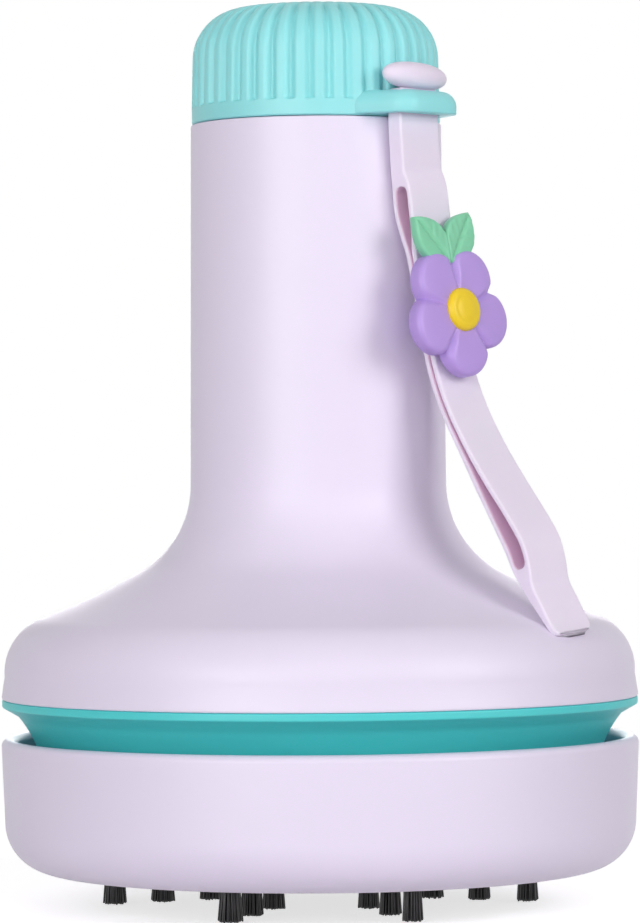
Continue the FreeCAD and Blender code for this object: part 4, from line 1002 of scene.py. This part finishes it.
def leaf_mesh(swing):
    """One lens-shaped leaf with a midrib and side veins."""
    rows = brim(LEAF_HEIGHT, 0.4, 0.15, 4)
    root = Vector((FLOWER_FRONT + LEAF_LIFT, 0.0, FLOWER_Z + LEAF_ROOT))
    facing = Matrix.Rotation(radians(swing), 3, "X")
    middle = Vector((0.0, LEAF_LENGTH / 2))

    def place(row, step):
        share, inset, height = rows[row]
        side = 1 if step < LEAF_STEPS / 2 else -1
        along = (step if side > 0 else LEAF_STEPS - step) / (LEAF_STEPS / 2)
        rim = Vector((side * LEAF_WIDTH / 2 * 4 * along * (1 - along), LEAF_LENGTH * along))
        spoke = rim - middle
        spot = middle + spoke * share - spoke.normalized() * min(inset, spoke.length * share)
        if height > 0.5 * LEAF_HEIGHT:
            height -= RIB_DEPTH * exp(-(spot.x / RIB_WIDTH) ** 2) * blur(spot.y / 1.2)
            height -= VEIN_DEPTH * (0.5 + 0.5 * cos(tau * (spot.y - abs(spot.x)) / VEIN_PITCH))
        return root + facing @ Vector((height, spot.x, spot.y))

    return weave(len(rows), LEAF_STEPS, place)


class VACUUM_OT_charm(bpy.types.Operator):
    """Build the flower charm and the sleeve that slides on the strap"""

    bl_idname = "vacuum.charm"
    bl_label = "Charm"

    def execute(self, context):
        sizes, tones = chosen(context)
        petals = flower_mesh(sizes.petal_count, sizes.petal_radius / MM, sizes.petal_ring / MM)
        leaves = join([leaf_mesh(LEAF_SWING), leaf_mesh(-LEAF_SWING)])
        sleeve = collar(rounded_loop(*SLEEVE_OUTER), rounded_loop(*SLEEVE_INNER),
                        *(FLOWER_Z + end for end in SLEEVE_ENDS), SLEEVE_EDGE)
        for name, mesh, tone, slot in (
                ("charm_flower_skin", petals, tones.petals, "purple_rubber"),
                ("charm_slider_skin", sleeve, tones.petals, "purple_rubber"),
                ("charm_button_skin", button_mesh(), tones.button, "yellow_rubber"),
                ("charm_leaves_skin", leaves, tones.leaves, "green_rubber")):
            mesh.transform(charm_matrix())
            part = piece(name, mesh, ready(soft_pvc, slot, tone), "charm", slot, sharp=50.0)
            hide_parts(name.removesuffix("_skin"))
        return {"FINISHED"}


# -------- brush head

DISH = [
    (5.2, 6.5), (33.2, 6.5), (33.2, 4.9), (36.0, 4.9), (42.6, 11.5, 6.6, 1), (43.0, 21.8),
    (42.0, 22.8, 1.0, 1), (41.0, 21.8, 1.0, 1), (40.3, 11.2), (37.3, 8.2, 3.0, -1), (5.2, 8.2),
]
FRONT = -45.0
SPOKES = (-155.0, -90.0, -25.0, 25.0, 90.0, 155.0)
# each tuft's radius on its spoke and how far its tips are above the floor
SPOKE_PLACES = ((14.9, 0.62), (21.4, 0.34), (27.9, 0.1))
SCREW_SPOKES = (-122.5, -57.5, 57.5, 122.5)
SCREW_RING = 30.3
DISH_BOSS = (7.5, 12.0)
DISH_BOSS_RADIUS = 2.4
# a tuft's height and radius at its root, its radius at the tips, and how its filaments stray
TUFT_ROOT_Z = 6.35
TUFT_ROOT = 1.22
TUFT_TIP = (1.45, 1.75)
TUFT_STRAY = 0.09
TUFT_UNEVEN = 0.3
TUFT_SAG = 0.05


class VACUUM_OT_base_dish(bpy.types.Operator):
    """Build the lavender dish with its screw bosses"""

    bl_idname = "vacuum.base_dish"
    bl_label = "Base Dish"

    def execute(self, context):
        sizes, tones = chosen(context)
        bowl = lathe(ease(trace(DISH), sizes.edge / MM), steps=200)
        bosses = pillars(SCREW_RING, [FRONT + turn for turn in SCREW_SPOKES], DISH_BOSS, DISH_BOSS_RADIUS)
        dish = piece("base_dish_skin", join([bowl] + bosses), ready(shell_abs, tones.shell), "head",
                     "lavender_plastic", sharp=30.0)
        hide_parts("base_dish")
        return {"FINISHED"}


def tuft_rods(middle, rise, count, radius, chance):
    """One tuft's filaments, set in its root by the golden angle, splayed and uneven at their tips."""
    golden = pi * (3 - sqrt(5))
    splay = chance.uniform(*TUFT_TIP)
    rods = []
    for place in range(count):
        reach = sqrt((place + 0.5) / count)
        way = Vector((cos(place * golden), sin(place * golden), 0.0))
        root = middle + way * reach * (TUFT_ROOT - radius) + Vector((0.0, 0.0, TUFT_ROOT_Z))
        stray = Vector([chance.uniform(-TUFT_STRAY, TUFT_STRAY) for _ in "xy"] + [0.0])
        tip = middle + way * reach * (splay - radius) + stray
        tip.z = radius + rise + chance.uniform(0.0, TUFT_UNEVEN) * reach
        bend = (root + tip) / 2 - way * TUFT_SAG + stray * 0.5
        rods.append(tube([root, bend, tip], radius))
    return rods


class VACUUM_OT_tufts(bpy.types.Operator):
    """Build each bristle tuft from its filaments"""

    bl_idname = "vacuum.tufts"
    bl_label = "Bristle Tufts"

    def execute(self, context):
        sizes, tones = chosen(context)
        chance = random.Random(11)
        rods = []
        for turn in SPOKES:
            angle = radians(FRONT + turn)
            for ring, rise in SPOKE_PLACES:
                middle = Vector((ring * cos(angle), ring * sin(angle), 0.0))
                rods += tuft_rods(middle, rise, sizes.filament_count, sizes.filament_width / MM / 2, chance)
        tufts = piece("bristle_filaments", join(rods), ready(bristle_nylon, tones.bristles), "head",
                      "nylon_bristle", sharp=60.0)
        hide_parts("bristle_tufts")
        return {"FINISHED"}


# -------- inner parts

INNER_FINISHES = {
    black_polypropylene: ("brush_plate", "rotary_switch", "motor_end_cap", "impeller"),
    grey_abs: ("fan_housing", "motor_bracket", "inner_frame", "neck_plate", "dust_cup", "filter_frame"),
    zinc_steel: ("motor_can", "armature", "neck_screws", "shell_screws", "motor_screws", "plate_screws"),
    ground_steel: ("rotor_shaft", "switch_shaft", "shaft_clip"),
    ferrite: ("motor_magnets",),
    sintered_bronze: ("motor_bushes",),
    shrink_film: ("battery_cell",),
    nickel_plate: ("cell_contacts", "usb_socket"),
    solder_mask: ("charge_board",),
    lamp_polycarbonate: ("charge_lamp",),
    nitrile: ("cup_o_ring",),
    filter_paper: ("filter_media",),
}


class VACUUM_OT_inner_parts(bpy.types.Operator):
    """Give each part that keeps its frame shape the finish of its real material"""

    bl_idname = "vacuum.inner_parts"
    bl_label = "Inner Parts"

    def execute(self, context):
        for maker, names in INNER_FINISHES.items():
            for name in names:
                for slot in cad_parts[name].material_slots:
                    slot.material = ready(maker)
        return {"FINISHED"}


# -------- stage

# each soft light's turn from the camera, its elevation in degrees and its side in metres
LIGHTS = {
    "key": (-30.0, 8.0, 0.5),
    "front": (8.0, 20.0, 0.5),
    "fill": (53.0, 18.0, 0.4),
    "top": (0.0, 80.0, 1.1),
    "back": (180.0, 4.0, 0.35),
}
LIGHT_DISTANCE = 0.9
LIGHT_AIM = Vector((0.0, 0.0, 0.06))
FLOOR_HALF = 4.0
# how much brighter the floor shows than its light makes it, and where it fades into the background
FLOOR_LIFT = 0.7
FLOOR_FADE = (0.09, 0.3)


def panel_light(name, strength, azimuth, elevation, side):
    """A soft square light that looks at the vacuum."""
    lamp = bpy.data.lights.new(name, "AREA")
    lamp.shape = "SQUARE"
    lamp.size = side
    lamp.energy = strength * pi ** 2 * LIGHT_DISTANCE ** 2
    thing = put(name, lamp)
    turn, rise = radians(azimuth), radians(elevation)
    way = Vector((sin(turn) * cos(rise), -cos(turn) * cos(rise), sin(rise)))
    thing.location = LIGHT_AIM + way * LIGHT_DISTANCE
    thing.rotation_euler = way.to_track_quat("Z", "Y").to_euler()


def floor_paint(tone):
    """Matte white paint, rolled: it shows as bright as the background, and keeps shadows."""
    finish, tree, surface = finish_of("floor_paint", {"Roughness": 0.9, "Specular IOR Level": 0.0})
    place = add(tree, "TexCoord").outputs["Object"]
    cloud = add(tree, "TexNoise", {"Scale": 40.0, "Detail": 2.0}, {"Vector": place})
    tint = add(tree, "Mix", {"data_type": "RGBA", 6: shade(tone, -0.01), 7: tone}, {0: cloud})
    wire(tree, surface, {"Base Color": tint.outputs[2]})
    looked_at = seen(tree)
    lift = add(tree, "Math", {"operation": "MULTIPLY", 1: FLOOR_LIFT}, {0: looked_at})
    glow = add(tree, "Emission", None, {"Strength": lift})
    both = add(tree, "AddShader", None, {0: surface, 1: glow})
    far = add(tree, "VectorMath", {"operation": "LENGTH"}, {0: place})
    fade = add(tree, "MapRange", {"interpolation_type": "SMOOTHSTEP", "From Min": FLOOR_FADE[0],
                                  "From Max": FLOOR_FADE[1]}, {"Value": far.outputs["Value"]})
    share = add(tree, "Math", {"operation": "MULTIPLY"}, {0: fade, 1: looked_at})
    white = add(tree, "Emission")
    final = add(tree, "MixShader", None, {0: share, 1: both, 2: white})
    wire(tree, tree.nodes["Material Output"], {"Surface": final})
    return finish


def lay_floor(tone):
    """A wide pale floor."""
    mesh = bpy.data.meshes.new("floor")
    corners = ((-1, -1), (1, -1), (1, 1), (-1, 1))
    mesh.from_pydata([(x * FLOOR_HALF, y * FLOOR_HALF, 0) for x, y in corners], [], [(0, 1, 2, 3)])
    floor = put("floor", mesh)
    floor.data.materials.append(floor_paint(tone))


def light_room(scene, sky):
    """A white background that lights the room at the level of the sky."""
    world = bpy.data.worlds.new("studio")
    scene.world = world
    world.use_nodes = True
    tree = world.node_tree
    strength = add(tree, "MapRange", {"To Min": sky, "To Max": 1.0}, {"Value": seen(tree)})
    background = tree.nodes["Background"]
    background.inputs["Color"].default_value = (1.0, 1.0, 1.0, 1.0)
    wire(tree, background, {"Strength": strength})


def place_camera(scene, setup):
    """The camera, by its place round the vacuum and its small turns."""
    camera = put("camera", bpy.data.cameras.new("camera"))
    camera.data.lens = setup.lens
    camera.data.sensor_width = 36.0
    camera.data.clip_start = 0.01
    camera.location = (sin(setup.azimuth) * setup.distance,
                       -cos(setup.azimuth) * setup.distance, setup.height)
    facing = (Matrix.Rotation(setup.azimuth + setup.pan, 4, "Z")
              @ Matrix.Rotation(pi / 2 + setup.pitch, 4, "X")
              @ Matrix.Rotation(setup.roll, 4, "Z"))
    camera.rotation_euler = facing.to_euler()
    scene.camera = camera


class VACUUM_OT_stage(bpy.types.Operator):
    """Set up the floor, the soft lights and the camera"""

    bl_idname = "vacuum.stage"
    bl_label = "Stage"

    def execute(self, context):
        scene, setup = context.scene, context.scene.vacuum_stage
        lay_floor(scene.vacuum_colours.floor)
        for name, (turn, elevation, side) in LIGHTS.items():
            azimuth = degrees(setup.azimuth) + turn
            panel_light(name + "_light", getattr(setup, name), azimuth, elevation, side)
        light_room(scene, setup.sky)
        place_camera(scene, setup)
        scene.view_settings.view_transform = "Standard"
        return {"FINISHED"}


# -------- add-on

STEPS = (VACUUM_OT_upper_shell, VACUUM_OT_skirt_ring, VACUUM_OT_ribbed_cap, VACUUM_OT_strap,
         VACUUM_OT_charm, VACUUM_OT_base_dish, VACUUM_OT_tufts, VACUUM_OT_inner_parts, VACUUM_OT_stage)
GROUPS = {"vacuum_sizes": VacuumSizes, "vacuum_colours": VacuumColours, "vacuum_stage": StageSettings}


class VACUUM_PT_parts(bpy.types.Panel):
    """Lists the steps and their settings"""

    bl_label = "Desk Vacuum"
    bl_idname = "VACUUM_PT_parts"
    bl_space_type = "VIEW_3D"
    bl_region_type = "UI"
    bl_category = "Desk Vacuum"

    def draw(self, context):
        for step in STEPS:
            self.layout.operator(step.bl_idname)
        for name, group in GROUPS.items():
            box = self.layout.box()
            for setting in group.__annotations__:
                box.prop(getattr(context.scene, name), setting)


def register():
    """Register the settings, the steps and the panel."""
    for kind in (*GROUPS.values(), *STEPS, VACUUM_PT_parts):
        bpy.utils.register_class(kind)
    for name, group in GROUPS.items():
        setattr(bpy.types.Scene, name, PointerProperty(type=group))


def unregister():
    """Take the panel, the steps and the settings away again."""
    for name in GROUPS:
        delattr(bpy.types.Scene, name)
    for kind in (VACUUM_PT_parts, *reversed(STEPS), *reversed(GROUPS.values())):
        bpy.utils.unregister_class(kind)


def main():
    """Run every step in order."""
    register()
    for step in STEPS:
        getattr(bpy.ops.vacuum, step.bl_idname.split(".")[1])()


if __name__ == "__main__":
    main()
